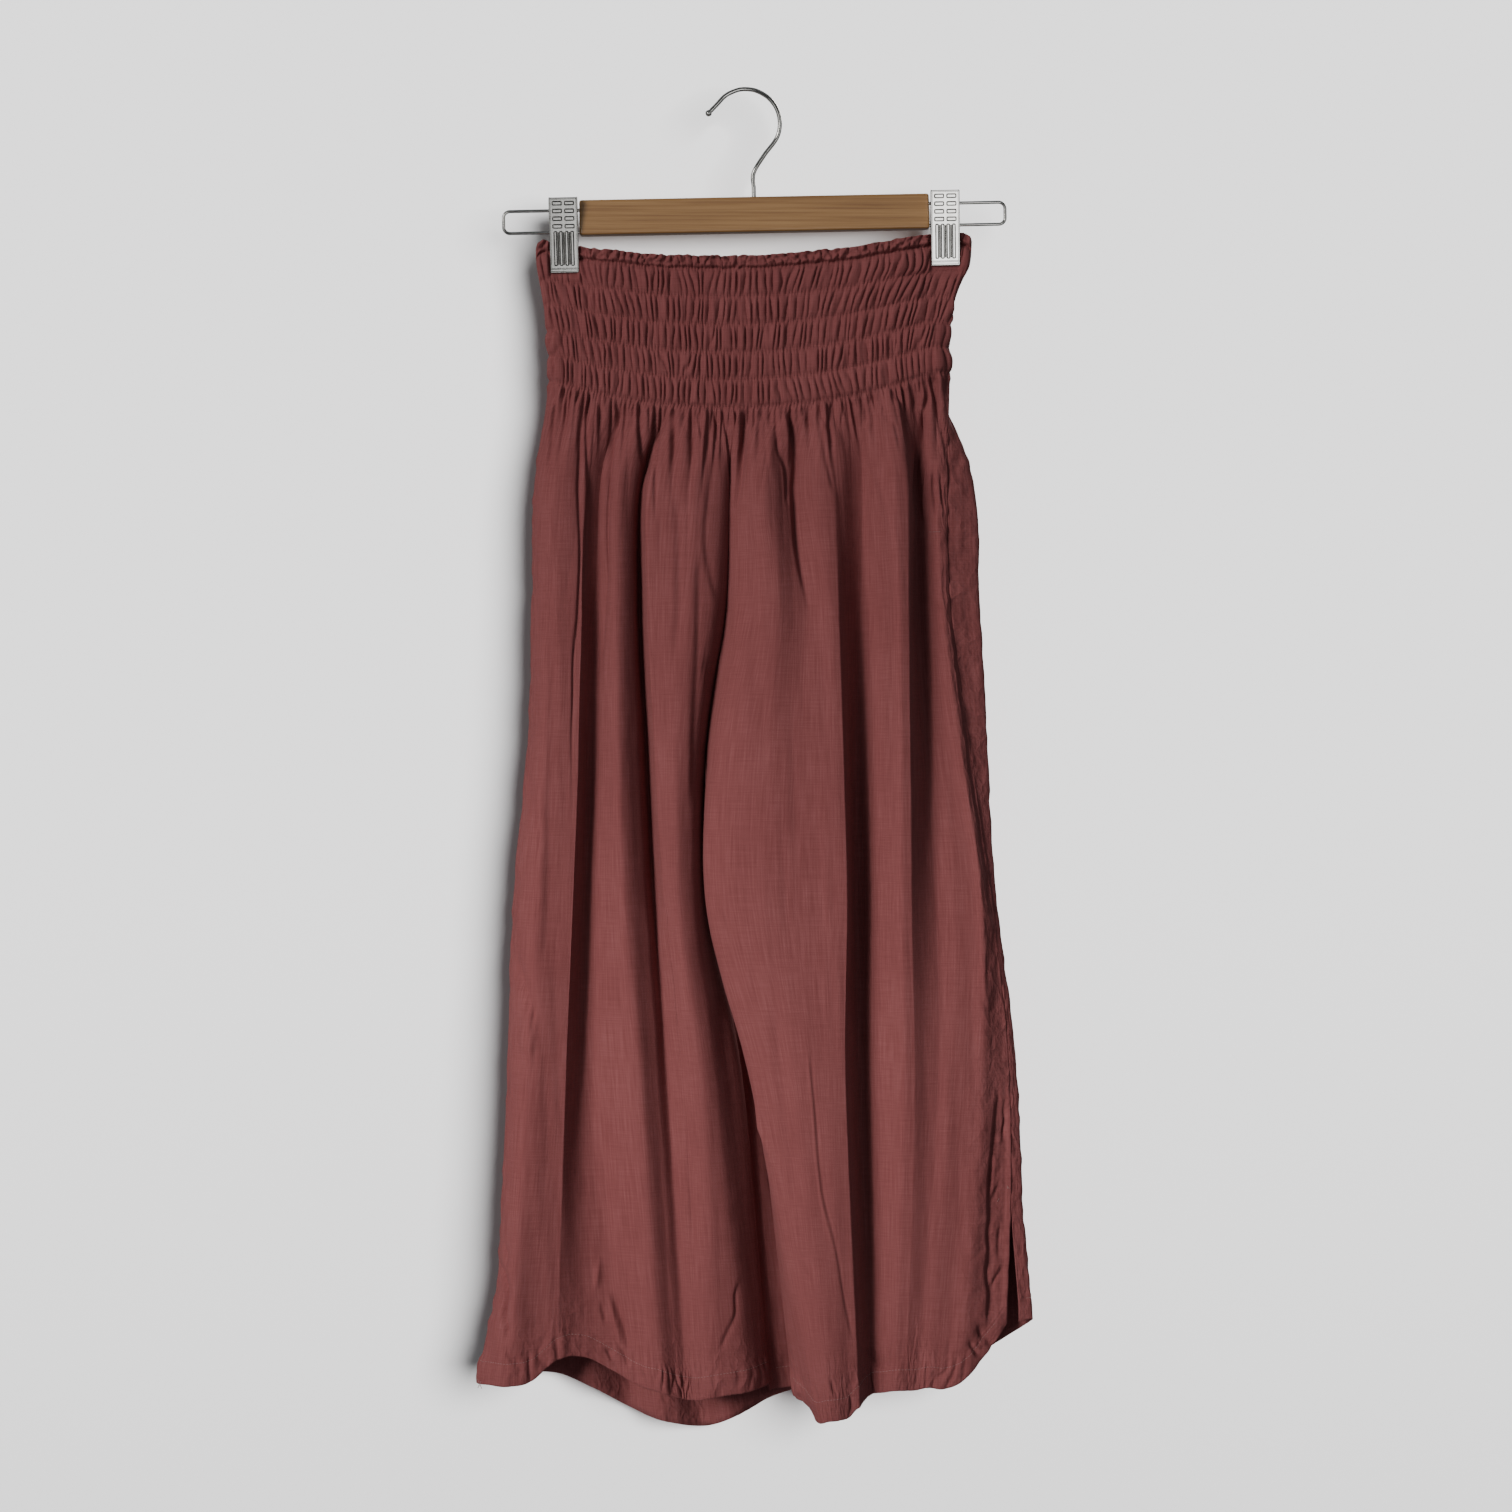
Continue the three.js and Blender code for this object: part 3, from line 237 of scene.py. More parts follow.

# The creases that the garment hangs in: how far each stands out, its half width, and the line that it runs along, read
# on a grid of MM_PER_PIXEL with the underside of the hook's crown at GRID_ORIGIN.
GRID_ORIGIN = (745, 90)
CREASES_RIGHT = [
    (-3.0, 1.3, [(589, 382), (590, 396), (588, 410), (587, 430), (588, 487), (586.5, 540), (585.7, 594),
     (587, 630), (586.5, 665), (585.8, 700)]),  # long fold line
    (-2.4, 1.1, [(579, 418), (580, 451), (578.6, 487), (580, 523), (581, 558), (580, 594), (578, 630), (575,
     655), (574.5, 700), (573.4, 736), (574, 793), (574.5, 839)]),  # sliver's left
    (-4.0, 1.9, [(612.5, 391), (618.5, 412), (617.9, 423), (614.3, 437), (611.6, 457), (608, 505), (606.3,
     541), (604.5, 585), (602.7, 621), (601.5, 659), (599, 710)]),  # narrow valley
    (-4.0, 1.3, [(638.6, 392), (639.3, 434), (641, 460), (643, 485)]),  # valley's left branch
    (-4.0, 1.5, [(656.5, 410), (652, 434), (648.2, 451), (646, 469), (643, 492)]),  # valley's right branch
    (-3.0, 1.2, [(662, 410), (659, 439), (657, 460), (655.7, 487), (656.3, 514), (658, 530)]),  # gather
    (-2.2, 1.3, [(674, 408), (675, 434), (675, 466), (676, 482)]),  # gather
    (-1.0, 4.0, [(678, 500), (680, 545), (680, 580), (678.6, 612), (676, 660)]),  # soft fold
    (-1.4, 1.4, [(690, 412), (692, 439), (692, 482)]),  # gather
    (-1.4, 2.8, [(706, 425), (709, 451), (709.8, 480), (708, 505), (705.4, 532), (708, 559), (714, 585),
     (719, 603)]),  # hip crease
    (-1.0, 1.4, [(703, 655), (707, 672), (712, 690)]),  # low hip crease
    (-3.0, 1.4, [(723, 412), (727.7, 441), (729.5, 469), (730.4, 500)]),  # seam's gather
    (-2.4, 1.3, [(553, 385), (556, 405), (554, 430), (551, 462), (549, 495)]),  # gather
    (-1.6, 1.2, [(597, 392), (599, 415), (597, 440)]),  # gather
    (-2.0, 1.2, [(605, 388), (607, 404)]),  # gather
    (-2.2, 1.2, [(623, 388), (625, 404)]),  # gather
    (-2.0, 1.2, [(682, 408), (684, 420)]),  # gather
    (-2.2, 1.2, [(697, 412), (701, 434), (703, 446)]),  # gather
    (-2.0, 1.2, [(714, 412), (717, 430), (719, 452)]),  # gather
    (-1.6, 1.1, [(565, 386), (566, 412), (564, 436)]),  # gather
    (-1.6, 1.1, [(572, 386), (573, 404)]),  # gather
    (-2.0, 1.1, [(631, 392), (631, 420), (629, 446)]),  # gather
    (-2.0, 1.1, [(646, 396), (648, 414)]),  # gather
    (-1.0, 1.1, [(531, 808), (535, 822), (540.5, 832), (538, 846), (541.5, 859)]),  # nick
    (-2.6, 1.7, [(512, 952), (515, 961), (523, 982), (531.6, 1007), (543, 1029)]),  # diagonal
    (1.6, 6.0, [(520, 1036), (531, 1046), (538, 1048)]),  # bulge
    (-2.2, 2.8, [(517, 1058), (531, 1064), (543, 1063)]),  # cross dimple
    (-2.8, 1.3, [(499, 1258), (504, 1272), (507, 1287), (505, 1300), (504.5, 1312), (507, 1322), (510,
     1336)]),  # flap's fold
    (-1.4, 1.1, [(506, 1238), (508, 1252), (508, 1266)]),  # flap's second line
    (-1.2, 1.2, [(505, 1284), (502.5, 1298), (504, 1312)]),  # flap's branch
    (-1.0, 1.5, [(504, 1341), (514, 1354), (524, 1355)]),  # hem dent
    (0.9, 1.0, [(595.8, 1260), (596, 1274), (595, 1290)]),  # fine ridge
    (0.9, 1.0, [(600, 1255), (598.5, 1272), (596.8, 1288)]),  # fine ridge
    (-1.2, 1.1, [(600.5, 1300), (604, 1312), (606.5, 1322)]),  # fine groove
    (0.9, 1.0, [(609, 1293), (615, 1320), (621, 1344)]),  # fine ridge
    (-1.6, 1.2, [(606, 1345), (609, 1351), (612, 1360)]),  # hem curl
    (-1.3, 1.2, [(619, 1343), (626, 1356), (628, 1368)]),  # hem curl
    (-2.0, 2.5, [(612, 1290), (618, 1309), (626, 1334), (629, 1350)]),  # hem valley
    (-1.1, 1.1, [(742, 1275), (736, 1290), (735.7, 1311), (728, 1327), (722, 1340), (716, 1352)]),
    (-0.8, 1.4, [(675, 944), (677, 952), (683, 975)]),  # shin crease
    (-1.2, 1.2, [(672, 1360), (674, 1374), (673, 1392)]),  # hem curl
    (-1.2, 1.2, [(682, 1366), (683, 1378), (682, 1394)]),  # hem curl
    (-0.9, 1.4, [(706, 1392), (718, 1391), (730, 1393), (742, 1391)]),  # hem wave
    (-1.2, 3.2, [(700, 560), (699, 640), (696, 720), (694, 800)]),  # inner hip fold
    (-1.3, 5.0, [(550, 560), (552, 700), (551, 860), (547, 960)]),  # soft trough
    (-1.2, 4.0, [(667, 900), (674, 1010), (684, 1120), (694, 1230)]),  # soft trough
]
CREASES_LEFT = [
    (-3.2, 1.5, [(746.5, 408), (743, 434), (741, 460), (740, 487), (737.5, 514), (736.6, 534)]),
    (-2.2, 1.3, [(769.6, 405), (771.4, 430)]),  # gather
    (-2.0, 1.2, [(755, 411), (755.5, 432)]),  # gather
    (-2.0, 1.2, [(762, 410), (763, 424)]),  # gather
    (-2.8, 1.5, [(777.7, 428), (778.6, 451), (783.6, 469), (785.4, 491), (785.4, 505)]),  # short fold
    (-5.0, 2.2, [(786, 404), (789, 419), (793, 439), (794.8, 464), (793.4, 487), (794.3, 515), (796, 541),
     (800, 567), (806, 596), (811, 625)]),  # wedge
    (-2.6, 1.3, [(818.4, 396), (822, 416), (827, 430), (828, 440)]),  # gather
    (-2.0, 1.3, [(823.8, 440), (825.5, 460), (830, 480), (834, 497)]),  # fold into the edge
    (-2.2, 1.2, [(835, 396), (831, 407), (828, 425)]),  # gather
    (-2.0, 1.2, [(849, 396), (853, 409)]),  # gather
    (-2.0, 1.2, [(857, 389), (859, 403)]),  # gather
    (-3.2, 2.0, [(863, 398), (866, 412), (868, 430)]),  # gather
    (-2.0, 1.2, [(872, 396), (877, 412), (879, 428)]),  # gather
    (1.3, 3.0, [(878, 410), (877, 440), (879, 470), (887, 505), (894, 541), (897, 575)]),  # bright diagonal
    (-1.6, 1.2, [(887, 421), (894, 428), (899, 457)]),  # gather
    (-2.4, 1.3, [(902, 388), (904.5, 410), (905, 430), (907.5, 446)]),  # edge's gather
    (-5.0, 2.2, [(925, 376), (928, 391), (923, 416), (919, 443), (916, 462), (914, 487), (912, 520)]),
    (-5.5, 3.0, [(931, 376), (935, 398), (937, 434), (937, 453), (935, 470)]),  # side wedge
    (1.0, 1.0, [(927, 462), (925, 485), (924, 505), (925, 522)]),  # pocket pucker
    (-1.5, 1.0, [(934.5, 465), (933, 480), (934, 500), (936, 520)]),  # pocket pucker
    (-1.3, 1.0, [(939, 470), (941, 490), (942.5, 505), (944, 516)]),  # pocket pucker
    (1.0, 1.2, [(930, 532), (938, 532), (943, 538), (948, 545)]),  # pocket edge
    (-1.4, 1.2, [(931, 602), (938, 609), (946, 614)]),  # pocket crease
    (0.9, 1.2, [(931, 599), (938, 606), (947, 611)]),  # pocket crease
    (-2.0, 1.2, [(804, 402), (806, 418), (808, 432)]),  # gather
    (-1.8, 1.2, [(812, 400), (813, 414)]),  # gather
    (-1.8, 1.2, [(842, 397), (842, 414), (840, 428)]),  # gather
    (-1.8, 1.2, [(893, 392), (896, 404)]),  # gather
    (-1.8, 1.2, [(912, 384), (914, 398), (912, 414)]),  # gather
    (-1.8, 1.2, [(946, 374), (947, 398)]),  # gather
    (-0.9, 2.2, [(711, 756), (721, 769), (733, 776), (745, 781)]),  # crotch drag
    (-1.1, 1.2, [(723.4, 912), (727, 921), (733, 934)]),  # thigh nick
    (1.6, 1.5, [(750, 1098), (752.5, 1107), (761, 1129.6), (771, 1153), (783, 1172)]),  # rim
    (-1.2, 1.8, [(757, 1110), (766, 1133), (776, 1155), (787, 1174)]),  # rim's shade
    (-0.6, 1.4, [(811, 1050), (811.5, 1072), (814.5, 1101), (817.5, 1139), (820, 1168), (824, 1196), (835,
     1240), (845, 1300), (852, 1332)]),  # long crease
    (0.35, 1.4, [(808.5, 1050), (809, 1072), (812, 1101), (814.5, 1139), (817, 1168), (821, 1196), (831,
     1240)]),  # long crease's lip
    (-1.3, 1.6, [(974, 968), (983, 969), (989.6, 967), (994, 961)]),  # side crease
    (-1.0, 1.6, [(985, 1012), (992, 1000), (997, 990)]),  # side crease
    (0.9, 1.1, [(976, 728), (982, 741), (987, 760)]),  # side pucker
    (-1.5, 1.4, [(1000, 1090), (996, 1104), (994.5, 1122), (991.5, 1147), (990, 1170), (988.5, 1195), (989,
     1214), (987.5, 1230), (988.5, 1251), (986.5, 1264), (987, 1280), (989, 1291), (988, 1303), (987.5,
     1322)]),  # strip's left edge
    (-1.2, 1.1, [(1004, 1100), (1005.5, 1120), (1003, 1146)]),  # strip's fold
    (-1.0, 1.0, [(1001, 1220), (999, 1245), (1000, 1262)]),  # strip's fold
    (0.9, 1.0, [(995, 1150), (994, 1175), (992, 1196)]),  # strip's fold
    (-1.2, 1.3, [(1001, 1180), (996, 1192), (991, 1204)]),  # strip's dent
    (-1.4, 1.2, [(1005, 1266), (997, 1276), (992, 1290)]),  # strip's pinch
    (-1.4, 1.1, [(977, 1322), (981, 1334), (988, 1342)]),  # corner wrinkle
    (-1.3, 1.1, [(969, 1338), (974, 1350), (980, 1357)]),  # corner wrinkle
    (-1.1, 1.1, [(984, 1338), (990, 1344), (995, 1345)]),  # corner wrinkle
    (0.9, 1.1, [(972, 1336), (978, 1347), (985, 1354)]),  # corner wrinkle
    (-1.3, 1.2, [(797, 1391), (801, 1402), (808, 1410), (818, 1415)]),  # lobe curl
    (-1.2, 1.2, [(793, 1398), (797, 1408), (805, 1417), (817, 1421)]),  # lobe curl
    (-1.0, 1.2, [(828, 1368), (832, 1380), (836, 1389)]),  # lobe curl
    (-1.0, 1.2, [(848, 1384), (850, 1398), (848, 1410)]),  # lobe curl
    (-1.0, 2.0, [(873, 1362), (882, 1364), (893, 1363)]),  # hem dent
    (-1.2, 2.0, [(866, 1345), (872, 1357), (880, 1366)]),  # pinch at the valley
    (-1.0, 6.0, [(775, 1010), (784, 1100), (797, 1200)]),  # soft trough
    (-0.9, 2.0, [(790, 1240), (806, 1262), (812, 1275)]),  # leg fold
]

# Where the cloth steps down beyond a line: the step's depth, its softness, and the line in x and z.
STEPS_LEFT = [
    (-2.2, 1.2, [(204.8, -792), (201.0, -811), (199.6, -826), (197.2, -846), (196.0, -864), (194.8, -884),
     (195.2, -899), (194.0, -912), (194.8, -929), (193.2, -939), (193.6, -952), (195.2, -961), (194.4, -970),
     (194.0, -986)]),
]

# A short thread's five places along it, as shares of its length, and its lift and thickness there, as shares of its
# radius; then the pitch, the length and the radius of each kind of stitch.
STITCH = {"at": (0, 0.18, 0.5, 0.82, 1), "lift": (-0.6, 0.35, 0.7, 0.35, -0.6), "size": (0.5, 1, 1.05, 1, 0.5)}
STITCH_SIDES = 5
HEM_STITCH = (2.7, 2.1, 0.24)
ELASTIC_STITCH = (2.4, 1.5, 0.2)
TACK_STITCH = (1.9, 1.6, 0.3)

# The bar tacks' lines in x and z: at the right slit, the pocket's mouth and the left slit.
TACKS = {
    "front_panel_right": [[(-213.2, -1029), (-209.2, -1037)], [(-209.8, -1030), (-213, -1037)]],
    "front_panel_left": [
        [(146.5, -353.6), (156, -353.8)],
        [(209, -876), (212.4, -880)], [(209, -880), (212, -877)], [(208.6, -878), (212.6, -878.6)],
        [(203.8, -886), (201.4, -890)],
    ],
}

# ---------------------------------------------------------------- curves and noise


def smoothstep(x, low, high):
    t = np.clip((np.asarray(x, float) - low) / (high - low), 0, 1)
    return t * t * (3 - 2 * t)


def lerp(a, b, t):
    return a + (b - a) * t


def hermite(start, start_slope, end, end_slope, span, at):
    t = at / span
    t2 = t * t
    t3 = t2 * t
    ends = start * (2 * t3 - 3 * t2 + 1) + end * (3 * t2 - 2 * t3)
    return ends + start_slope * span * (t3 - 2 * t2 + t) + end_slope * span * (t3 - t2)


def through(knots, values, at):
    """A smooth curve through values: level before its first knot, and straight on past its last."""
    knots = np.asarray(knots, float)
    values = np.asarray(values, float)
    sign = np.sign(knots[-1] - knots[0])
    before = np.maximum(np.arange(len(knots)) - 1, 0)
    after = np.minimum(np.arange(len(knots)) + 1, len(knots) - 1)
    slopes = (values[after] - values[before]) / (knots[after] - knots[before])
    at = np.asarray(at, float)
    i = np.clip(np.searchsorted(sign * knots, sign * at, side="left") - 1, 0, len(knots) - 2)
    inside = hermite(values[i], slopes[i], values[i + 1], slopes[i + 1], knots[i + 1] - knots[i], at - knots[i])
    past = values[-1] + slopes[-1] * (at - knots[-1])
    inside = np.where((at - knots[0]) * sign <= 0, values[0], inside)
    return np.where((at - knots[-1]) * sign >= 0, past, inside)


def noise(x, y, seed):
    """Smooth noise from -1 to 1 over a plane, with one bump for each unit."""
    x, y = np.broadcast_arrays(np.asarray(x, float), np.asarray(y, float))
    column, row = np.floor(x).astype(np.int64), np.floor(y).astype(np.int64)
    tx, ty = x - column, y - row
    tx, ty = tx * tx * (3 - 2 * tx), ty * ty * (3 - 2 * ty)

    def corner(i, j):
        mixed = (i * 374761393 + j * 668265263 + seed * 1442695041) & 0xFFFFFFFF
        mixed = ((mixed ^ (mixed >> 13)) * 1274126177) & 0xFFFFFFFF
        return ((mixed ^ (mixed >> 16)) & 0xFFFF) / 32767.5 - 1

    top = lerp(corner(column, row), corner(column + 1, row), tx)
    bottom = lerp(corner(column, row + 1), corner(column + 1, row + 1), tx)
    return lerp(top, bottom, ty)


# ---------------------------------------------------------------- the cloth's plain form


def bitten(z):
    """How far the clips' bite has taken hold at a height, from 0 below them to 1."""
    return smoothstep(z, CLIPPED["from"], CLIPPED["to"])


def clipped(x, z):
    """How much the clips leave of the waist's depth."""
    from_clip = np.minimum(np.abs(x - CLIPPED["at"][0]), np.abs(x - CLIPPED["at"][1]))
    across = 1 - smoothstep(from_clip, CLIPPED["flat"], CLIPPED["clear"])
    return lerp(1, CLIPPED["least"], across * bitten(z))


def waist_point(panel, u, z):
    """x and out of the waist's plain section, at a place u across a panel."""
    heights = [row[0] for row in WAIST]
    end = through(heights, [row[2] if panel["side"] > 0 else row[1] for row in WAIST], z)
    depth = through(heights, [row[3] for row in WAIST], z)
    x = lerp(CENTRE_X, end, u)
    bite = bitten(z)
    rounded = lerp(np.sqrt(1 - np.power(u, SIDE_ROUNDING)), 1, bite)
    shut = CAD_WALL * bite / np.hypot(bite, 1 - bite) + SEAM_GAP * bite
    closing = bite * smoothstep(u, CLIPPED["shut"], 1)
    out = lerp(np.maximum(depth * clipped(x, z) * rounded, shut), shut, closing)
    return x, panel["face"] * out


def sagging_height(line, panel, u):
    """The height of a line that sags between the clips."""
    height = line["left"] if panel["side"] > 0 else line["right"]
    across = (waist_point(panel, u, height)[0] - CENTRE_X) / CLIPPED_SPAN
    return lerp(line["right"], line["left"], (across + 1) / 2) - line["sag"] * np.maximum(0, 1 - across * across)


def place_folds(panel):
    """Gives each fold line its place across the cloth: its mean share of the section's length."""
    rows = panel["rows"]
    shares = np.zeros(len(rows))
    panel["width"] = 0.0
    for z in HEIGHTS:
        x = np.array([through(HEIGHTS, row[1:7], z) for row in rows])
        out = np.array([through(OUT_HEIGHTS, row[7:11], z) for row in rows])
        lengths = np.concatenate([[0], np.cumsum(np.hypot(np.diff(x), np.diff(out)))])
        shares += lengths / lengths[-1] / len(HEIGHTS)
        panel["width"] = max(panel["width"], lengths[-1])
    panel["u"] = shares
    panel["tops"] = [float(sagging_height(LAST_ROW_HEIGHT, panel, u)) for u in shares]
    crisp = [next((CRISP[word] for word in CRISP if row[0].startswith(word)), 0) for row in rows]
    panel["crisp"] = np.array(crisp)


def fold_point(panel, k, z):
    """x and out of fold line k at heights z."""
    row, u, top = panel["rows"][k], panel["u"][k], panel["tops"][k]
    start_x, start_out = waist_point(panel, u, top)
    slit_top = SLIT["left"] if panel["side"] > 0 else SLIT["right"]
    opened = smoothstep(u, SLIT["edge"], 1) * smoothstep(slit_top - z, 0, SLIT["opens_over"])
    x = through((top,) + HEIGHTS, (float(start_x),) + row[1:7], z)
    out = through((top,) + OUT_HEIGHTS, (float(start_out),) + row[7:11], z)
    if k == 0:
        x = x + panel["side"] * SEAM_GAP * smoothstep(-z, *DIVE)
        in_leg = through(OUT_HEIGHTS[1:], row[8:11], z)
        out = np.where(z < HEIGHTS[CROTCH], in_leg, out)
    in_waist = z >= top
    waist_x, waist_out = waist_point(panel, u, z)
    x = np.where(in_waist, waist_x, x + opened * panel["opening"][0])
    out = np.where(in_waist, waist_out, out + opened * panel["opening"][1])
    return x, out


def end_slope(partner, xs, outs, z, places):
    """The way the section heads at the side seam: across to the partner's cloth below, and straight on above."""
    last = len(places) - 1
    beyond = fold_point(partner, len(partner["rows"]) - 2, z)
    on = np.stack([xs[last] - xs[last - 1], outs[last] - outs[last - 1]])
    across = np.stack([beyond[0] - xs[last - 1], beyond[1] - outs[last - 1]])
    speed = np.hypot(*on) / (places[last] - places[last - 1])
    direction = lerp(across / np.hypot(*across), on / np.hypot(*on), bitten(z))
    return direction / np.hypot(*direction) * speed


def plain_surface(name, u, z):
    """Points of a panel's plain form, in millimetres, at places u across the cloth and heights z."""
    panel = PANELS[name]
    partner = PANELS[name.replace("front", "back") if panel["face"] > 0 else name.replace("back", "front")]
    shape = z.shape
    u, z = u.ravel(), z.ravel()
    places = panel["u"]
    last = len(places) - 1
    folds = [fold_point(panel, k, z) for k in range(last + 1)]
    sections = np.stack([[fold[0] for fold in folds], [fold[1] for fold in folds]])
    xs, outs = sections

    # The slope into and out of each fold line; they differ along a crisp edge, most of all below the gathers.
    spans = np.diff(places)[None, :, None]
    chords = np.diff(sections, axis=1) / spans
    into, out_of = np.zeros_like(sections), np.zeros_like(sections)
    central = (sections[:, 2:] - sections[:, :-2]) / (places[2:] - places[:-2])[None, :, None]
    crisp = panel["crisp"][None, 1:-1, None] * smoothstep(-z, *CRISP_FROM)[None, None, :]
    into[:, 1:-1] = lerp(central, chords[:, :-1], crisp)
    out_of[:, 1:-1] = lerp(central, chords[:, 1:], crisp)
    turn = smoothstep(-z, *DIVE) * math.pi / 2
    speed = np.hypot(*chords[:, 0])
    out_of[:, 0] = [panel["side"] * np.cos(turn) * speed, panel["face"] * np.sin(turn) * speed]
    into[:, last] = end_slope(partner, xs, outs, z, places)

    k = np.clip(np.searchsorted(places, u, side="right") - 1, 0, last - 1)
    column = np.arange(len(u))
    span, at = places[k + 1] - places[k], u - places[k]
    x, out = (
        hermite(points[k, column], leaving[k, column], points[k + 1, column], coming[k + 1, column], span, at)
        for points, leaving, coming in zip(sections, out_of, into)
    )
    return np.stack([x, -out, z], axis=-1).reshape(shape + (3,))


for panel in PANELS.values():
    place_folds(panel)

# ---------------------------------------------------------------- the cloth's relief

CLOTH = 0.7
COARSE = 4  # the inner face has one point for so many of the outer face's, each way
HEADER_STEPS = 12
WAIST_STEPS = 60
LEG_ZONES = ((0.11, 36), (0.13, 32), (0.535, 48), (0.19, 52), (0.035, 20))  # share of the leg's height, rows of points
WAIST_HEIGHT = 112.0
WAIST_WIDTH = 165.0
CORNER = 8.0

RIDGES = 30  # the shirring's ridges across a panel
RIDGE_HEIGHT, RIDGE_ROUND = 3.5, 0.45
FINE_HEIGHT, FINE_ROUND = 1.2, 0.6
ROW_DIP = (2.8, 1.7)
FRILL_HEIGHT, FRILL_ROUND = 4.4, 0.42
GATHERS = ((1, 2.2, 20, 26), (0.55, 2.4, 42, 15), (0.3, 1.5, 95, 9))  # ridges' share, height, reach, bumps across
GATHER_DEPTH, GATHER_HALF_WIDTH, GATHER_LEAN = (2.0, 4.4), (0.9, 1.8), 0.05

GATHERS_START = -265.0  # a drawn crease that starts above here comes out of the shirring
DEEPENED_BELOW, CREASE_GAIN = -290, 1.7
SOFT_SIDE = 3.6  # how much wider a crease is on its soft side
STITCH_HEIGHT = 17.5
HEM_STEP, HEM_DIP, HEM_PUCKER = 0.5, 0.55, 2.3
JAW_EDGE, JAW_HEIGHTS, PRESSED = (10.5, 13), (-152, -145), 0.12
SEAM_EDGE = (0.2, 3.5)
SEAM_PUCKER = 0.9
CENTRE_DIP = 3.5


def grid_places(name):
    """u, the height z, the share down the waist (at most 1), the drop below it and the height above the hem."""
    panel = PANELS[name]
    spans = np.diff(panel["u"])
    counts = np.maximum(1, np.round(spans * panel["columns"] / COARSE)).astype(int)
    counts[np.argmax(counts)] += panel["columns"] // COARSE - counts.sum()
    u = np.concatenate([[0]] + [
        np.linspace(start, end, COARSE * count + 1)[1:]
        for start, end, count in zip(panel["u"][:-1], panel["u"][1:], counts)
    ])
    u = u[None, :]
    hem = through(panel["u"], [row[11] for row in panel["rows"]], u)
    edge = sagging_height(EDGE_HEIGHT, panel, u)
    last_row = sagging_height(LAST_ROW_HEIGHT, panel, u)
    edge = edge + EDGE_FRILL * noise(u * 40, 0.3, panel["seed"] + 40) * smoothstep(1 - u, 0, 0.02)
    edge = edge - CORNER * (1 - np.sqrt(1 - np.clip(1 - (1 - u) * WAIST_WIDTH / CORNER, 0, 1) ** 2))
    header = np.linspace(0, ROWS[0], HEADER_STEPS + 1)
    f = np.concatenate([header, np.linspace(ROWS[0], 1, WAIST_STEPS + 1)[1:]])[:, None]
    starts = np.cumsum([0] + [share for share, _ in LEG_ZONES])
    s = np.concatenate([
        np.linspace(start, start + share, steps + 1)[1:] for start, (share, steps) in zip(starts, LEG_ZONES)
    ])[:, None]
    z = np.concatenate([lerp(edge, last_row, f), lerp(last_row, hem, s)])
    share = np.concatenate([f, np.ones_like(s)]) + 0 * u
    return u + 0 * z, z, share, np.maximum(last_row - z, 0), z - hem


def ridges(phase, roundness):
    """Rounded ridges with narrow grooves between them, from 0 to 1, one for each unit."""
    return np.abs(np.sin(np.pi * phase)) ** roundness


def waist_relief(u, f, seed):
    """How far the shirred cloth stands out, in millimetres."""
    band = np.searchsorted(ROWS, f, side="left")
    tops = np.concatenate([[0], ROWS])[band]
    bottoms = np.asarray(ROWS)[np.minimum(band, len(ROWS) - 1)]
    within = np.clip((f - tops) / (bottoms - tops), 0, 1)
    swell = np.sin(np.pi * within) ** 0.55
    wobble = 0.55 * noise(u * 24, band * 7.3, seed) + 0.20 * noise(u * 40, f * 10, seed + 1)
    slant = 1.0 * noise(u * 8, band * 3.1, seed + 2) * (within - 0.5)
    phase = RIDGES * u + wobble + slant
    tall = 1 + 0.5 * noise(u * 33, band * 2.3, seed + 3)
    fine = ridges(2 * RIDGES * u + 0.5 * noise(u * 30, f * 9, seed + 4), FINE_ROUND)
    row_distance = WAIST_HEIGHT * np.min([np.abs(f - row) for row in ROWS], axis=0)
    pulled = np.exp(-(row_distance / 2.0) ** 2)
    body = ridges(phase, RIDGE_ROUND) * RIDGE_HEIGHT * swell * tall + FINE_HEIGHT * fine * pulled + 1.0
    body = body - lerp(*ROW_DIP, smoothstep(f, 0.1, 0.2)) * pulled
    crinkle = 0.7 + 0.5 * noise(u * 45, f * 40, seed + 6)
    swing = 0.5 * noise(u * 20, f * 18, seed + 5) + 7 * f * noise(u * 13, 0.4, seed + 8)
    frill = FRILL_HEIGHT * ridges(0.9 * RIDGES * u + swing, FRILL_ROUND) * crinkle
    frill = frill + 0.9 * noise(u * 80, f * 70, seed + 7) + 1.2
    return np.where(f < ROWS[0], lerp(frill, body, smoothstep(within, 0.7, 0.95)), body)


def straight_down(panel, u, x, z, drop):
    """The place in the last row that lies straight above each point, which near the row is its own place."""
    end = through([row[0] for row in WAIST], [row[2] if panel["side"] > 0 else row[1] for row in WAIST], z)
    above = np.clip((x - CENTRE_X) / (end - CENTRE_X), 0, 1)
    return lerp(u, above, smoothstep(drop, 0, 4))


def gather_relief(u, drop, seed):
    """The gathers that run out below the last row of shirring, in millimetres."""
    relief = 0
    for share, tall, reach, bumps in GATHERS:
        bend = 0.4 * noise(u * bumps, drop / 110, seed + bumps)
        uneven = 1 + 0.7 * noise(u * bumps, 0.5, seed + bumps + 1)
        fade = np.exp(-drop / (reach * uneven.clip(0.35)))
        relief = relief + tall * fade * ridges(share * RIDGES * u + bend, RIDGE_ROUND)
    return relief


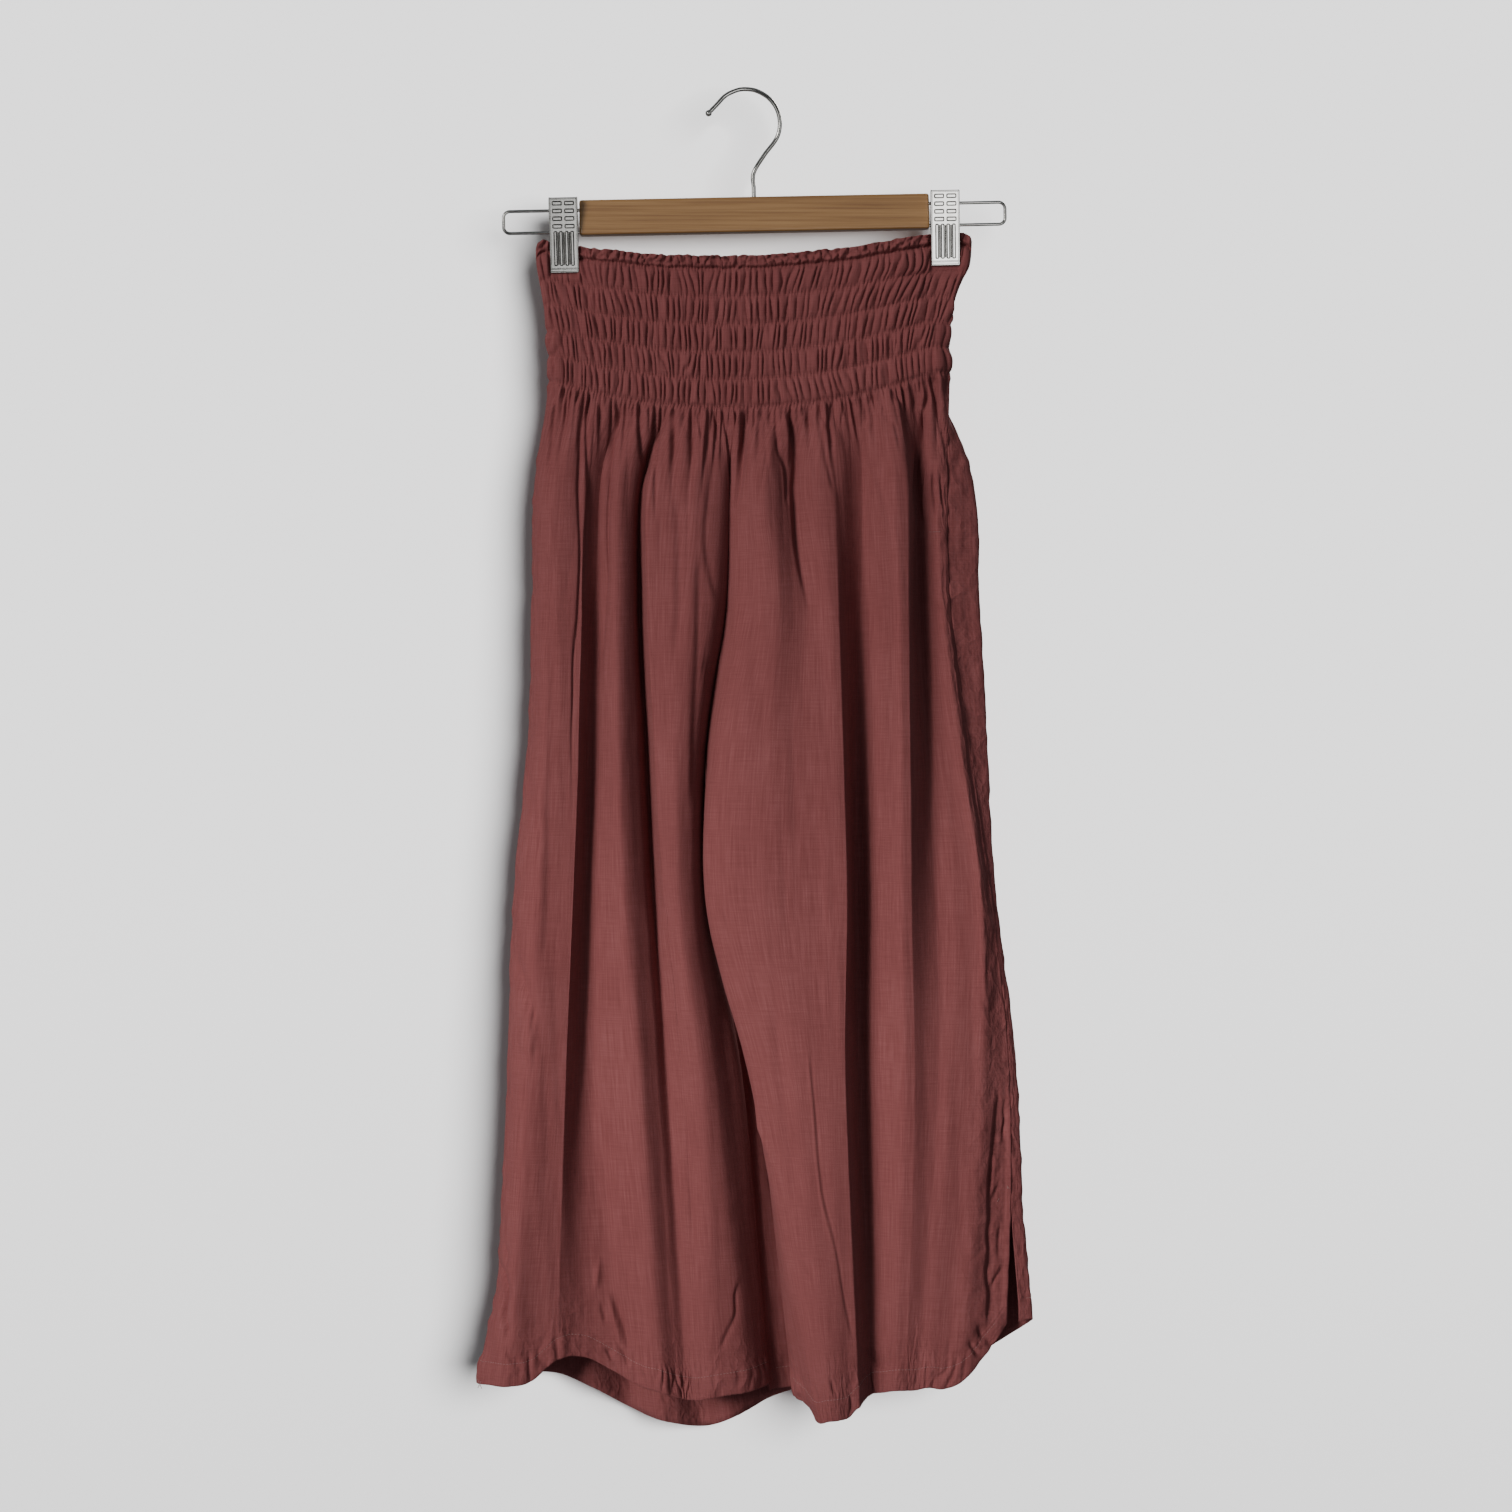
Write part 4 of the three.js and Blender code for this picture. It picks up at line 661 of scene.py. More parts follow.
def random_gathers(seed, count, longest):
    """Grooves that run down from the last row, each with its place in u, its length, lean, depth and half width."""
    pick = np.random.default_rng(seed)
    for k in range(count):
        place = (k + pick.uniform(0.15, 0.85)) / count
        length = longest * pick.uniform(0.25, 1) ** 1.6
        lean = pick.uniform(-GATHER_LEAN, GATHER_LEAN) * length
        yield place, length, lean, pick.uniform(*GATHER_DEPTH), pick.uniform(*GATHER_HALF_WIDTH)


def grooves_below_rows(panel, u, drop):
    """The random gathers' relief, in millimetres."""
    relief = np.zeros_like(u)
    for place, length, lean, depth, half_width in random_gathers(panel["seed"] + 70, *panel["gathers"]):
        share = drop / length
        across = panel["side"] * (u - place) * WAIST_WIDTH - lean * share - 0.6 * np.sin(3.1 * share + 9 * place)
        fade = smoothstep(drop, -1, 3) * (1 - smoothstep(share, 0.2, 1))
        wide = half_width * (1 + 0.8 * share) * np.where(across > 0, 0.6 * SOFT_SIDE, 1)
        relief -= depth * fade * np.exp(-(across / wide) ** 2)
    return relief


def in_mm(creases):
    """The creases with their lines in x and z."""
    across, down = GRID_ORIGIN
    return [(depth, half_width, [((x - across) * MM_PER_PIXEL, (down - y) * MM_PER_PIXEL) for x, y in line])
            for depth, half_width, line in creases]


def along(line, x, z):
    """How far each point lies from a drawn line, which side it is on, and its share of the way along the line."""
    line = np.array(line, float)
    upright = abs(line[-1, 1] - line[0, 1]) >= abs(line[-1, 0] - line[0, 0])
    main, other = (z, x) if upright else (x, z)
    knots, values = (line[:, 1], line[:, 0]) if upright else (line[:, 0], line[:, 1])
    centre = through(knots, values, main)
    share = (main - knots[0]) / (knots[-1] - knots[0])
    slope = (values[-1] - values[0]) / (knots[-1] - knots[0])
    return (other - centre) / math.hypot(1, slope), share, abs(knots[-1] - knots[0])


def drawn_creases(creases, steps, x, z, outward_y):
    """The relief of the drawn creases and steps, in millimetres, on cloth that faces the front."""
    relief = np.zeros_like(x)
    for depth, half_width, line in creases:
        distance, share, length = along(line, x, z)
        from_waist = line[0][1] > GATHERS_START
        if line[0][1] < DEEPENED_BELOW:
            depth = depth * CREASE_GAIN
        if abs(line[-1][1] - line[0][1]) < 1.2 * abs(line[-1][0] - line[0][0]):
            half_width = max(half_width, 2.0)
        tip = min(0.35, 12 / length)
        start = smoothstep(share, -tip, 0.1) if from_waist else smoothstep(share, -0.02, tip)
        fade = start * (1 - smoothstep(share, 0.55 if from_waist else 1 - tip, 1.02))
        reach = half_width * np.where(distance > 0, SOFT_SIDE, 1)
        groove = lerp(np.exp(-(distance / half_width) ** 2), np.exp(-(distance / reach) ** 2), 0.55)
        relief += depth * fade * groove
    for depth, softness, line in steps:
        distance, share, _ = along(line, x, z)
        fade = smoothstep(share, -0.02, 0.2) * (1 - smoothstep(share, 0.9, 1.02))
        relief += depth * fade * smoothstep(distance, -softness, softness)
    return relief * smoothstep(-outward_y, 0.05, 0.35)


def rumple(x, z, seed):
    """Soft wrinkles all over the hanging cloth, mostly long and upright, in millimetres."""
    tilt = x + 0.05 * z
    long_ones = 0.75 * noise(tilt / 13, z / 150, seed + 20) + 0.26 * noise(tilt / 5.5, z / 80, seed + 21)
    cross = 0.12 * noise(x / 22, z / 12, seed + 22) + 0.10 * noise(x / 7, z / 9, seed + 23)
    crumpled = smoothstep(noise(x / 60, z / 130, seed + 24), 0.1, 0.7)
    return long_ones + cross + 0.55 * crumpled * noise((x + 0.7 * z) / 16, (z - 0.4 * x) / 30, seed + 25)


def hem_relief(u, above, width, seed):
    """The turned hem: its step, the dip along its stitches, and the puckers between the stitches and the edge."""
    step = HEM_STEP * (1 - smoothstep(above, HEM_DEPTH - 1.0, HEM_DEPTH + 0.8))
    dip = -HEM_DIP * np.exp(-((above - STITCH_HEIGHT) / 1.1) ** 2)
    across = u * width
    uneven = smoothstep(noise(across / 34, 0.7, seed + 31), -0.35, 0.6)
    pucker = ridges(across / 8.5 + 0.7 * noise(across / 12, above / 18, seed + 32), 0.8) - 0.5
    reach = smoothstep(above, -4, 5) * (1 - smoothstep(above, STITCH_HEIGHT - 2, STITCH_HEIGHT + 9))
    fine = 0.3 * noise(across / 4, above / 10, seed + 33) * (1 - smoothstep(above, 18, 40))
    return step + dip + HEM_PUCKER * pucker * uneven * reach + fine


def relief(name, u, z, share, drop, above, points, normals):
    """How far each point stands out of the plain form, in millimetres."""
    panel = PANELS[name]
    seed, width = panel["seed"], panel["width"]
    x = points[..., 0]
    from_jaw = np.minimum(np.abs(x - CLIPPED["at"][0]), np.abs(x - CLIPPED["at"][1]))
    under_jaw = (1 - smoothstep(from_jaw, *JAW_EDGE)) * smoothstep(z, *JAW_HEIGHTS)
    waist = waist_relief(u, share, seed) * lerp(1, PRESSED, under_jaw)
    v = straight_down(panel, u, x, z, drop)
    leg = 0.9 + gather_relief(v, drop, seed) + grooves_below_rows(panel, v, drop)
    leg = leg + rumple(x, z, seed) * smoothstep(drop, 0, 110) + hem_relief(u, above, width, seed)
    leg = leg - 0.9 * smoothstep(drop, 40, 200)
    if panel["face"] > 0:
        creases, steps = (in_mm(CREASES_LEFT), STEPS_LEFT) if panel["side"] > 0 else (in_mm(CREASES_RIGHT), [])
        leg = leg + drawn_creases(creases, steps, x, z, normals[..., 1])
    made = np.where(share < 1, waist, lerp(waist, leg, smoothstep(drop, 0, 6)))
    middle = smoothstep(u * width, *SEAM_EDGE)
    made = lerp(lerp(1.9, 0.4, smoothstep(drop, 20, 60)), made, middle)
    front = smoothstep(-normals[..., 1] * panel["face"], 0.2, 0.7)
    above_crotch = smoothstep(drop, 10, 60) * (1 - smoothstep(drop, 200, 300))
    made = made - CENTRE_DIP * front * np.exp(-(u * width / 5) ** 2) * above_crotch
    from_side = (1 - u) * width
    pucker = SEAM_PUCKER * noise(x / 9, z / 8, seed + 50) * np.exp(-((from_side - 10) / 16) ** 2)
    return lerp(0.35, made, smoothstep(from_side, *SEAM_EDGE)) + pucker * smoothstep(drop, 20, 60) * (share >= 1)


def normals_of(points):
    """Unit normals of a grid of points."""
    across = np.gradient(points, axis=1)
    down = np.gradient(points, axis=0)
    normal = np.cross(across, down)
    return normal / np.maximum(np.linalg.norm(normal, axis=-1, keepdims=True), 1e-9)


# ---------------------------------------------------------------- meshes


def new_object(name, data, material, slot=None):
    made = bpy.data.objects.new(name, data)
    bpy.context.scene.collection.objects.link(made)
    made.data.materials.append(material)
    if slot:
        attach(made, "root")
    return made


def new_mesh(name, vertices, faces):
    mesh = bpy.data.meshes.new(name)
    mesh.from_pydata((np.asarray(vertices) * MM).tolist(), [], faces)
    mesh.polygons.foreach_set("use_smooth", np.ones(len(mesh.polygons), bool))
    mesh.update()
    return mesh


def lay_flat(mesh, flat):
    """Gives each point of the cloth its place on the flat cloth, in metres, as the weave's UV map."""
    loops = np.empty(len(mesh.loops), np.int32)
    mesh.loops.foreach_get("vertex_index", loops)
    mesh.uv_layers.new(name="cloth").data.foreach_set("uv", flat[loops].astype(np.float32).ravel())


def quads(rows, columns, first=0):
    """The faces of a grid of points."""
    index = np.arange(rows * columns).reshape(rows, columns) + first
    return np.stack([index[:-1, :-1], index[1:, :-1], index[1:, 1:], index[:-1, 1:]], -1).reshape(-1, 4)


def rim_of(rows, columns):
    """The indices round the edge of a grid."""
    index = np.arange(rows * columns).reshape(rows, columns)
    return np.concatenate([index[0, :-1], index[:-1, -1], index[-1, :0:-1], index[:0:-1, 0]])


def lowest_near(height, step):
    """The lowest value round every step-th place of a grid."""
    padded = np.pad(height, step, mode="edge")
    window = np.lib.stride_tricks.sliding_window_view(padded, (2 * step + 1, 2 * step + 1))
    return window[::step, ::step].min(axis=(2, 3))


def shell(name, outer, plain, outward, height, flat, rumpled, outside_in):
    """A closed shell: a fine outer face, a plain inner face with fewer points, and the rim that joins them."""
    rows, columns = outer.shape[:2]
    inside = plain[::COARSE, ::COARSE] + outward[::COARSE, ::COARSE] * (lowest_near(height, COARSE) - CLOTH)[..., None]
    inner_rows, inner_columns = inside.shape[:2]
    base = rows * columns
    faces = quads(rows, columns).tolist() + quads(inner_rows, inner_columns, base)[:, ::-1].tolist()
    outer_rim, inner_rim = rim_of(rows, columns), rim_of(inner_rows, inner_columns) + base
    for k in range(len(inner_rim)):
        fine = [outer_rim[(COARSE * k + j) % len(outer_rim)] for j in range(COARSE + 1)]
        faces.append([int(i) for i in fine + [inner_rim[(k + 1) % len(inner_rim)], inner_rim[k]]])
    if outside_in:
        faces = [face[::-1] for face in faces]
    mesh = new_mesh(name, np.concatenate([outer.reshape(-1, 3), inside.reshape(-1, 3)]), faces)
    both = np.concatenate([rumpled.ravel(), rumpled[::COARSE, ::COARSE].ravel()])
    mesh.attributes.new("rumpled", "FLOAT", "POINT").data.foreach_set("value", both.astype(np.float32))
    lay_flat(mesh, np.concatenate([flat.reshape(-1, 2), flat[::COARSE, ::COARSE].reshape(-1, 2)]))
    return mesh


def tube_faces(sections, sides, base=0):
    """The faces of a closed tube of rings of points."""
    faces = []
    for k in range(sections - 1):
        for j in range(sides):
            a, b = base + k * sides + j, base + k * sides + (j + 1) % sides
            faces.append([a, b, b + sides, a + sides])
    faces.append([base + j for j in range(sides)][::-1])
    faces.append([base + (sections - 1) * sides + j for j in range(sides)])
    return faces


def tube(name, points, radius, sides):
    """A wire along points, in millimetres."""
    points = np.asarray(points, float)
    tangents = np.gradient(points, axis=0)
    tangents /= np.linalg.norm(tangents, axis=1, keepdims=True)
    side = np.cross(tangents[0], (0.31, 0.95, 0.05))
    rings = []
    for point, tangent in zip(points, tangents):
        side = side - tangent * side.dot(tangent)
        side /= np.linalg.norm(side)
        up = np.cross(tangent, side)
        angles = np.arange(sides) * 2 * math.pi / sides
        rings.append(point + radius * (np.outer(np.cos(angles), side) + np.outer(np.sin(angles), up)))
    return new_mesh(name, np.concatenate(rings), tube_faces(len(points), sides))


# ---------------------------------------------------------------- materials


class Nodes:
    """Short names for building a material's nodes."""

    def __init__(self, name):
        self.material = bpy.data.materials.new(name)
        self.material.use_nodes = True
        self.tree = self.material.node_tree
        self.shader = self.tree.nodes["Principled BSDF"]

    def put(self, socket, value):
        if isinstance(value, bpy.types.NodeSocket):
            self.tree.links.new(value, socket)
        else:
            socket.default_value = value

    def add(self, kind, inputs, **settings):
        node = self.tree.nodes.new(kind)
        for key, value in settings.items():
            setattr(node, key, value)
        for key, value in inputs.items():
            self.put(node.inputs[key], value)
        return node

    def set(self, **values):
        for key, value in values.items():
            self.put(self.shader.inputs[key.replace("_", " ")], value)

    def math(self, operation, a, b=0.0):
        return self.add("ShaderNodeMath", {0: a, 1: b}, operation=operation).outputs[0]

    def mixed(self, *parts):
        """The sum of sockets, each times its weight."""
        total = None
        for socket, weight in parts:
            part = self.math("MULTIPLY", socket, weight)
            total = self.math("ADD", total, part) if total else part
        return total

    def scaled(self, vector, scale):
        return self.add("ShaderNodeMapping", {"Vector": vector, "Scale": scale}).outputs[0]

    def noise(self, vector, scale, detail=3.0, roughness=0.5):
        inputs = {"Vector": vector, "Scale": scale, "Detail": detail, "Roughness": roughness}
        return self.add("ShaderNodeTexNoise", inputs).outputs[0]

    def ramp(self, factor, stops):
        node = self.add("ShaderNodeValToRGB", {0: factor})
        elements = node.color_ramp.elements
        while len(elements) < len(stops):
            elements.new(0.5)
        for element, (place, colour) in zip(elements, stops):
            element.position = place
            element.color = (*colour, 1)
        return node.outputs[0]

    def bump(self, height, strength, distance):
        inputs = {"Height": height, "Strength": strength, "Distance": distance}
        return self.add("ShaderNodeBump", inputs).outputs[0]


def cloth_material():
    n = Nodes("viscose")
    uv = n.add("ShaderNodeUVMap", {}, uv_map="cloth").outputs[0]
    warp = n.noise(n.scaled(uv, (1, 0.03, 1)), 900, 3, 0.6)
    weft = n.noise(n.scaled(uv, (0.04, 1, 1)), 1100, 2)
    patches = n.noise(uv, 11, 4, 0.6)
    tone = n.mixed((warp, 0.55), (weft, 0.25), (patches, 0.2))
    colour = n.ramp(tone, [(0.3, CLOTH_DARK), (0.5, CLOTH_MID), (0.7, CLOTH_LIGHT)])
    across = n.add("ShaderNodeSeparateXYZ", {0: uv})
    threads = [n.math("SINE", n.math("MULTIPLY", across.outputs[k], 2 * math.pi / THREAD_PITCH)) for k in (0, 1)]
    weave = n.math("MULTIPLY", threads[0], threads[1])
    height = n.math("ADD", n.math("MULTIPLY", weave, 0.3), n.math("ADD", warp, weft))
    crumple = n.noise(n.scaled(uv, (1, 0.6, 1)), 70, 3, 0.5)
    rumpled = n.add("ShaderNodeAttribute", {}, attribute_name="rumpled").outputs["Fac"]
    folds = n.math("ABSOLUTE", n.math("SUBTRACT", crumple, 0.5))
    creased = n.bump(n.math("MULTIPLY", folds, n.math("ADD", rumpled, 0.12)), 0.8, 0.006)
    woven = n.add("ShaderNodeBump", {"Height": height, "Strength": 0.4, "Distance": 0.0004, "Normal": creased})
    n.set(Base_Color=colour, Roughness=0.9, Normal=woven.outputs[0], Specular_IOR_Level=0.08)
    n.set(Sheen_Weight=0.07, Sheen_Roughness=0.5, Sheen_Tint=(1.0, 0.55, 0.55, 1))
    return n.material


def thread_material():
    n = Nodes("thread")
    place = n.add("ShaderNodeTexCoord", {}).outputs["Object"]
    colour = n.ramp(n.noise(place, 900), [(0.3, THREAD_DARK), (0.7, THREAD_LIGHT)])
    n.set(Base_Color=colour, Roughness=0.7, Sheen_Weight=0.2)
    return n.material


def wood_material():
    n = Nodes("varnished wood")
    place = n.add("ShaderNodeTexCoord", {}).outputs["Object"]
    grain = n.noise(n.scaled(place, (0.9, 9, 60)), 9, 6, 0.62)
    pores = n.noise(n.scaled(place, (3, 60, 300)), 14, 3, 0.7)
    broad = n.noise(n.scaled(place, (1, 1, 6)), 5, 3)
    tone = n.mixed((grain, 0.62), (pores, 0.22), (broad, 0.16))
    colour = n.ramp(tone, [(0.3, WOOD_DARK), (0.48, WOOD_MID), (0.66, WOOD_LIGHT)])
    n.set(Base_Color=colour, Roughness=0.42, Normal=n.bump(grain, 0.25, 0.0006))
    n.set(Coat_Weight=0.25, Coat_Roughness=0.25)
    return n.material


def steel_material(name, dark, light, roughness):
    n = Nodes(name)
    place = n.add("ShaderNodeTexCoord", {}).outputs["Object"]
    brushed = n.noise(n.scaled(place, (1, 1, 0.2)), 400, 2)
    worn = n.noise(place, 60, 4, 0.6)
    colour = n.ramp(worn, [(0.35, dark), (0.65, light)])
    rough = n.math("ADD", n.math("MULTIPLY", brushed, 0.08), roughness)
    n.set(Base_Color=colour, Metallic=1.0, Roughness=rough)
    return n.material


VISCOSE = cloth_material()
THREAD = thread_material()
WOOD = wood_material()
NICKEL = steel_material("nickel plate", STEEL_DARK, STEEL_LIGHT, 0.09)
WIRE = steel_material("drawn wire", WIRE_DARK, WIRE_LIGHT, 0.08)
# Painted shade: near-black nickel for the jaws' pressed slopes and grooves.
PAINTED_SHADE_NICKEL = steel_material("painted shade on pressed slopes", PAINTED_SHADE_DARK, PAINTED_SHADE_LIGHT, 0.3)

# ---------------------------------------------------------------- the garment

GRIDS = {}


def make_panel(name):
    panel = PANELS[name]
    u, z, share, drop, above = grid_places(name)
    plain = plain_surface(name, u, z)
    outward = normals_of(plain) * -(panel["face"] * panel["side"])
    height = relief(name, u, z, share, drop, above, plain, outward)
    outer = plain + outward * height[..., None]
    GRIDS[name] = {"points": outer, "above": above, "share": share, "outward": outward}
    flat = np.stack([u * panel["width"] * MM, z * MM], -1)
    inside_out = panel["face"] * panel["side"] > 0
    from_side = (1 - u) * panel["width"]
    rumpled = np.maximum(1 - smoothstep(above, 15, 70), 1 - smoothstep(from_side, 8, 40))
    rumpled = np.maximum(rumpled, 0.6 * (1 - smoothstep(drop, 10, 60))) * (share >= 1)
    mesh = shell(name + "_cloth", outer, plain, outward, height, flat, rumpled, inside_out)
    piece = new_object(name + "_cloth", mesh, VISCOSE, "cloth")
    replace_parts(piece, name)
    return piece


def stitches(name, runs, material, pitch, length, radius):
    """Stitches along lines of points on the cloth: each a short thread, raised in its middle."""
    vertices, faces = [], []
    sides, sections = STITCH_SIDES, len(STITCH["at"])
    lift, size = radius * np.array(STITCH["lift"]), radius * np.array(STITCH["size"])
    angles = np.arange(sides) * 2 * math.pi / sides
    for points, normals in runs:
        places = np.concatenate([[0], np.cumsum(np.linalg.norm(np.diff(points, axis=0), axis=1))])
        for start in np.arange(0.5 * pitch, places[-1] - length, pitch):
            at = start + length * np.array(STITCH["at"])
            middle = np.stack([np.interp(at, places, points[:, c]) for c in range(3)], -1)
            normal = np.stack([np.interp(at, places, normals[:, c]) for c in range(3)], -1)
            tangent = middle[-1] - middle[0]
            tangent = tangent / np.linalg.norm(tangent)
            across = np.cross(normal, tangent)
            across /= np.linalg.norm(across, axis=1, keepdims=True)
            up = np.cross(tangent, across)
            base = len(vertices)
            for k in range(sections):
                ring = np.outer(np.cos(angles), across[k]) + np.outer(np.sin(angles), up[k])
                vertices.extend(middle[k] + normal[k] * lift[k] + size[k] * ring)
            faces += tube_faces(sections, sides, base)
    return new_object(name, new_mesh(name, vertices, faces), material, "cloth")


def grid_row(name, field, value, first, last):
    """The cloth's points and normals along a row of its grid, between two shares of its width."""
    grid = GRIDS[name]
    row = int(np.argmin(np.abs(np.median(grid[field], axis=1) - value)))
    columns = grid["points"].shape[1]
    part = slice(int(first * columns), int(last * columns))
    return grid["points"][row, part], grid["outward"][row, part]


def surface_run(name, line):
    """The cloth's points and normals under a line drawn on its front."""
    grid = GRIDS[name]
    points, normals = grid["points"].reshape(-1, 3), grid["outward"].reshape(-1, 3)
    seen = normals[:, 1] < -0.15
    points, normals = points[seen], normals[seen]
    line = np.asarray(line, float)
    share = np.linspace(0, len(line) - 1, 12 * (len(line) - 1) + 1)
    x, z = (np.interp(share, np.arange(len(line)), line[:, c]) for c in (0, 1))
    nearest = [int(np.argmin((points[:, 0] - a) ** 2 + (points[:, 2] - b) ** 2)) for a, b in zip(x, z)]
    placed = points[nearest].copy()
    placed[:, 0], placed[:, 2] = x, z
    return placed, normals[nearest]


def make_stitching():
    """The pieces sewn on each panel: its hem's stitches, its elastic rows, and its tacks where it has any."""
    pieces = {}
    for name in PANELS:
        hem = grid_row(name, "above", STITCH_HEIGHT, 0.02, 0.98)
        pieces[name] = [stitches(name + "_hem_stitches", [hem], THREAD, *HEM_STITCH)]
        rows = [grid_row(name, "share", f, 0.01, 0.99) for f in ROWS]
        pieces[name].append(stitches(name + "_elastic_rows", rows, VISCOSE, *ELASTIC_STITCH))
    for name, lines in TACKS.items():
        runs = [surface_run(name, line) for line in lines]
        pieces[name].append(stitches(name + "_tacks", runs, THREAD, *TACK_STITCH))
    return pieces


# ---------------------------------------------------------------- the pocket's bag


def make_pocket_bag():
    across = np.linspace(0, 1, 41)[None, :]
    down = np.linspace(0, 1, 61)[:, None]
    z = lerp(POCKET["top"], POCKET["depth"], down) + 0 * across
    seam_z = np.maximum(z, POCKET["hangs"])
    seam = plain_surface("front_panel_left", np.ones_like(z), seam_z)
    corner = 0.5 - 0.5 * np.sqrt(1 - np.power(2 * np.maximum(down - 0.5, 0), 4))
    reach = POCKET["reach"] * (1 - corner) * lerp(0.72, 1, smoothstep(down, 0, 0.6))
    y = lerp(seam[..., 1] + CAD_WALL + 2 * SEAM_GAP, POCKET["y"], smoothstep(across, 0, 0.22))
    x = seam[..., 0] - POCKET["inset"] - across * reach
    sag = 0.35 * noise(x / 16, z / 40, 5) + 0.2 * noise(x / 6, z / 14, 6)
    near = np.stack([x, y + sag + 0.4, z], -1)
    far = near + np.array([0, 2 * CAD_WALL - 0.8, 0]) + 0.3 * noise(x / 12, z / 30, 9)[..., None] * [0, 1, 0]
    near_faces = np.roll(quads(*z.shape), -1, axis=1)
    faces = near_faces.tolist() + (near_faces[:, ::-1] + z.size).tolist()
    rim = rim_of(*z.shape)
    for a, b in zip(rim.tolist(), np.roll(rim, -1).tolist()):
        faces.append([a, b, b + z.size, a + z.size])
    mesh = new_mesh("pocket_bag_left_cloth", np.concatenate([near.reshape(-1, 3), far.reshape(-1, 3)]), faces)
    flat = np.stack([across * POCKET["reach"] * MM + 0 * z, z * MM], -1).reshape(-1, 2)
    lay_flat(mesh, np.concatenate([flat, flat]))
    piece = new_object("pocket_bag_left_cloth", mesh, VISCOSE, "cloth")
    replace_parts(piece, "pocket_bag_left")
    return piece


# ---------------------------------------------------------------- the hanger


HANG = Matrix.Rotation(TILT, 4, "Y")


def hung(points):
    """Tilts points on the hanger as it hangs."""
    return np.array([HANG @ Vector(point) for point in points])


def rounded_box(bm, centre, size, radius, segments=3):
    """Adds a box with rounded edges, in millimetres."""
    made = bmesh.ops.create_cube(bm, size=1.0)["verts"]
    bmesh.ops.scale(bm, verts=made, vec=size)
    bmesh.ops.translate(bm, verts=made, vec=centre)
    edges = {edge for vert in made for edge in vert.link_edges}
    bmesh.ops.bevel(bm, geom=list(edges), offset=radius, segments=segments, profile=0.5, affect="EDGES")


def mesh_of(bm, name, matrix):
    """The mesh in metres of what was built in millimetres."""
    bmesh.ops.transform(bm, matrix=matrix, verts=bm.verts)
    bmesh.ops.scale(bm, vec=(MM, MM, MM), verts=bm.verts)
    mesh = bpy.data.meshes.new(name)
    bm.to_mesh(mesh)
    bm.free()
    return mesh


def make_bar():
    bm = bmesh.new()
    rounded_box(bm, (BAR["x"], 0, BAR["z"]), (BAR["length"], BAR["depth"], BAR["height"]), BAR["edge"], 4)
    bar = new_object("bar", mesh_of(bm, "bar", HANG), WOOD, "wood")
    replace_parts(bar, "hanger_bar")


def spline(points, count):
    """Evenly spaced points on a smooth curve through points."""
    points = np.asarray(points, float)
    steps = np.sqrt(np.linalg.norm(np.diff(points, axis=0), axis=1))
    knots = np.concatenate([[0], np.cumsum(steps)])
    fine = np.linspace(0, knots[-1], 40 * len(points))
    curve = np.stack([through(knots, points[:, c], fine) for c in range(3)], -1)
    lengths = np.concatenate([[0], np.cumsum(np.linalg.norm(np.diff(curve, axis=0), axis=1))])
    even = np.linspace(0, lengths[-1], count)
    return np.stack([np.interp(even, lengths, curve[:, c]) for c in range(3)], -1)


def make_hook():
    centre_z = HOOK["wire"] - HOOK["radius"]
    crown = [(HOOK["radius"] * math.cos(angle), 0, centre_z + HOOK["radius"] * math.sin(angle))
             for angle in map(math.radians, HOOK_CROWN)]
    stem_end = BAR["z"] + BAR["height"] / 2 - HOOK["root"] + SEAM_GAP
    stem = [(BAR["x"], 0, lerp(HOOK["neck"], stem_end, share)) for share in (0, 0.4, 1)]
    points = [HOOK["tip"]] + crown + [HOOK["knee"]] + stem
    mesh = tube("hook", hung(spline(points, 110)), HOOK["wire"], 14)
    bm = bmesh.new()
    bm.from_mesh(mesh)
    ball = bmesh.ops.create_uvsphere(bm, u_segments=18, v_segments=12, radius=HOOK["ball"] * MM)["verts"]
    bmesh.ops.translate(bm, verts=ball, vec=HANG @ Vector(HOOK["tip"]) * MM)
    bm.to_mesh(mesh)
    bm.free()
    mesh.polygons.foreach_set("use_smooth", np.ones(len(mesh.polygons), bool))
    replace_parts(new_object("hook", mesh, WIRE, "steel"), "hanger_hook")


def make_rail(word, side):
    root = BAR["x"] + side * (BAR["length"] / 2 - RAIL["root"] + SEAM_GAP)
    bend_x = BAR["x"] + side * (RAIL["reach"] - RAIL["bend"])
    upper, lower = RAIL["z"] + RAIL["spread"] / 2, RAIL["z"] - RAIL["spread"] / 2
    points = [(lerp(root, bend_x, t), 0, upper) for t in np.linspace(0, 0.97, 12)]
    for start, centre_z in ((90, upper - RAIL["bend"]), (0, lower + RAIL["bend"])):
        for k in range(9):
            angle = math.radians(start - k * 90 / 8)
            points.append((bend_x + side * RAIL["bend"] * math.cos(angle), 0,
                           centre_z + RAIL["bend"] * math.sin(angle)))
    points += [(lerp(bend_x, root, t), 0, lower) for t in np.linspace(0.03, 1, 12)]
    piece = new_object("rail_" + word, tube("rail", hung(points), RAIL["wire"], 12), WIRE, "steel")
    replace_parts(piece, "hanger_rail_" + word)


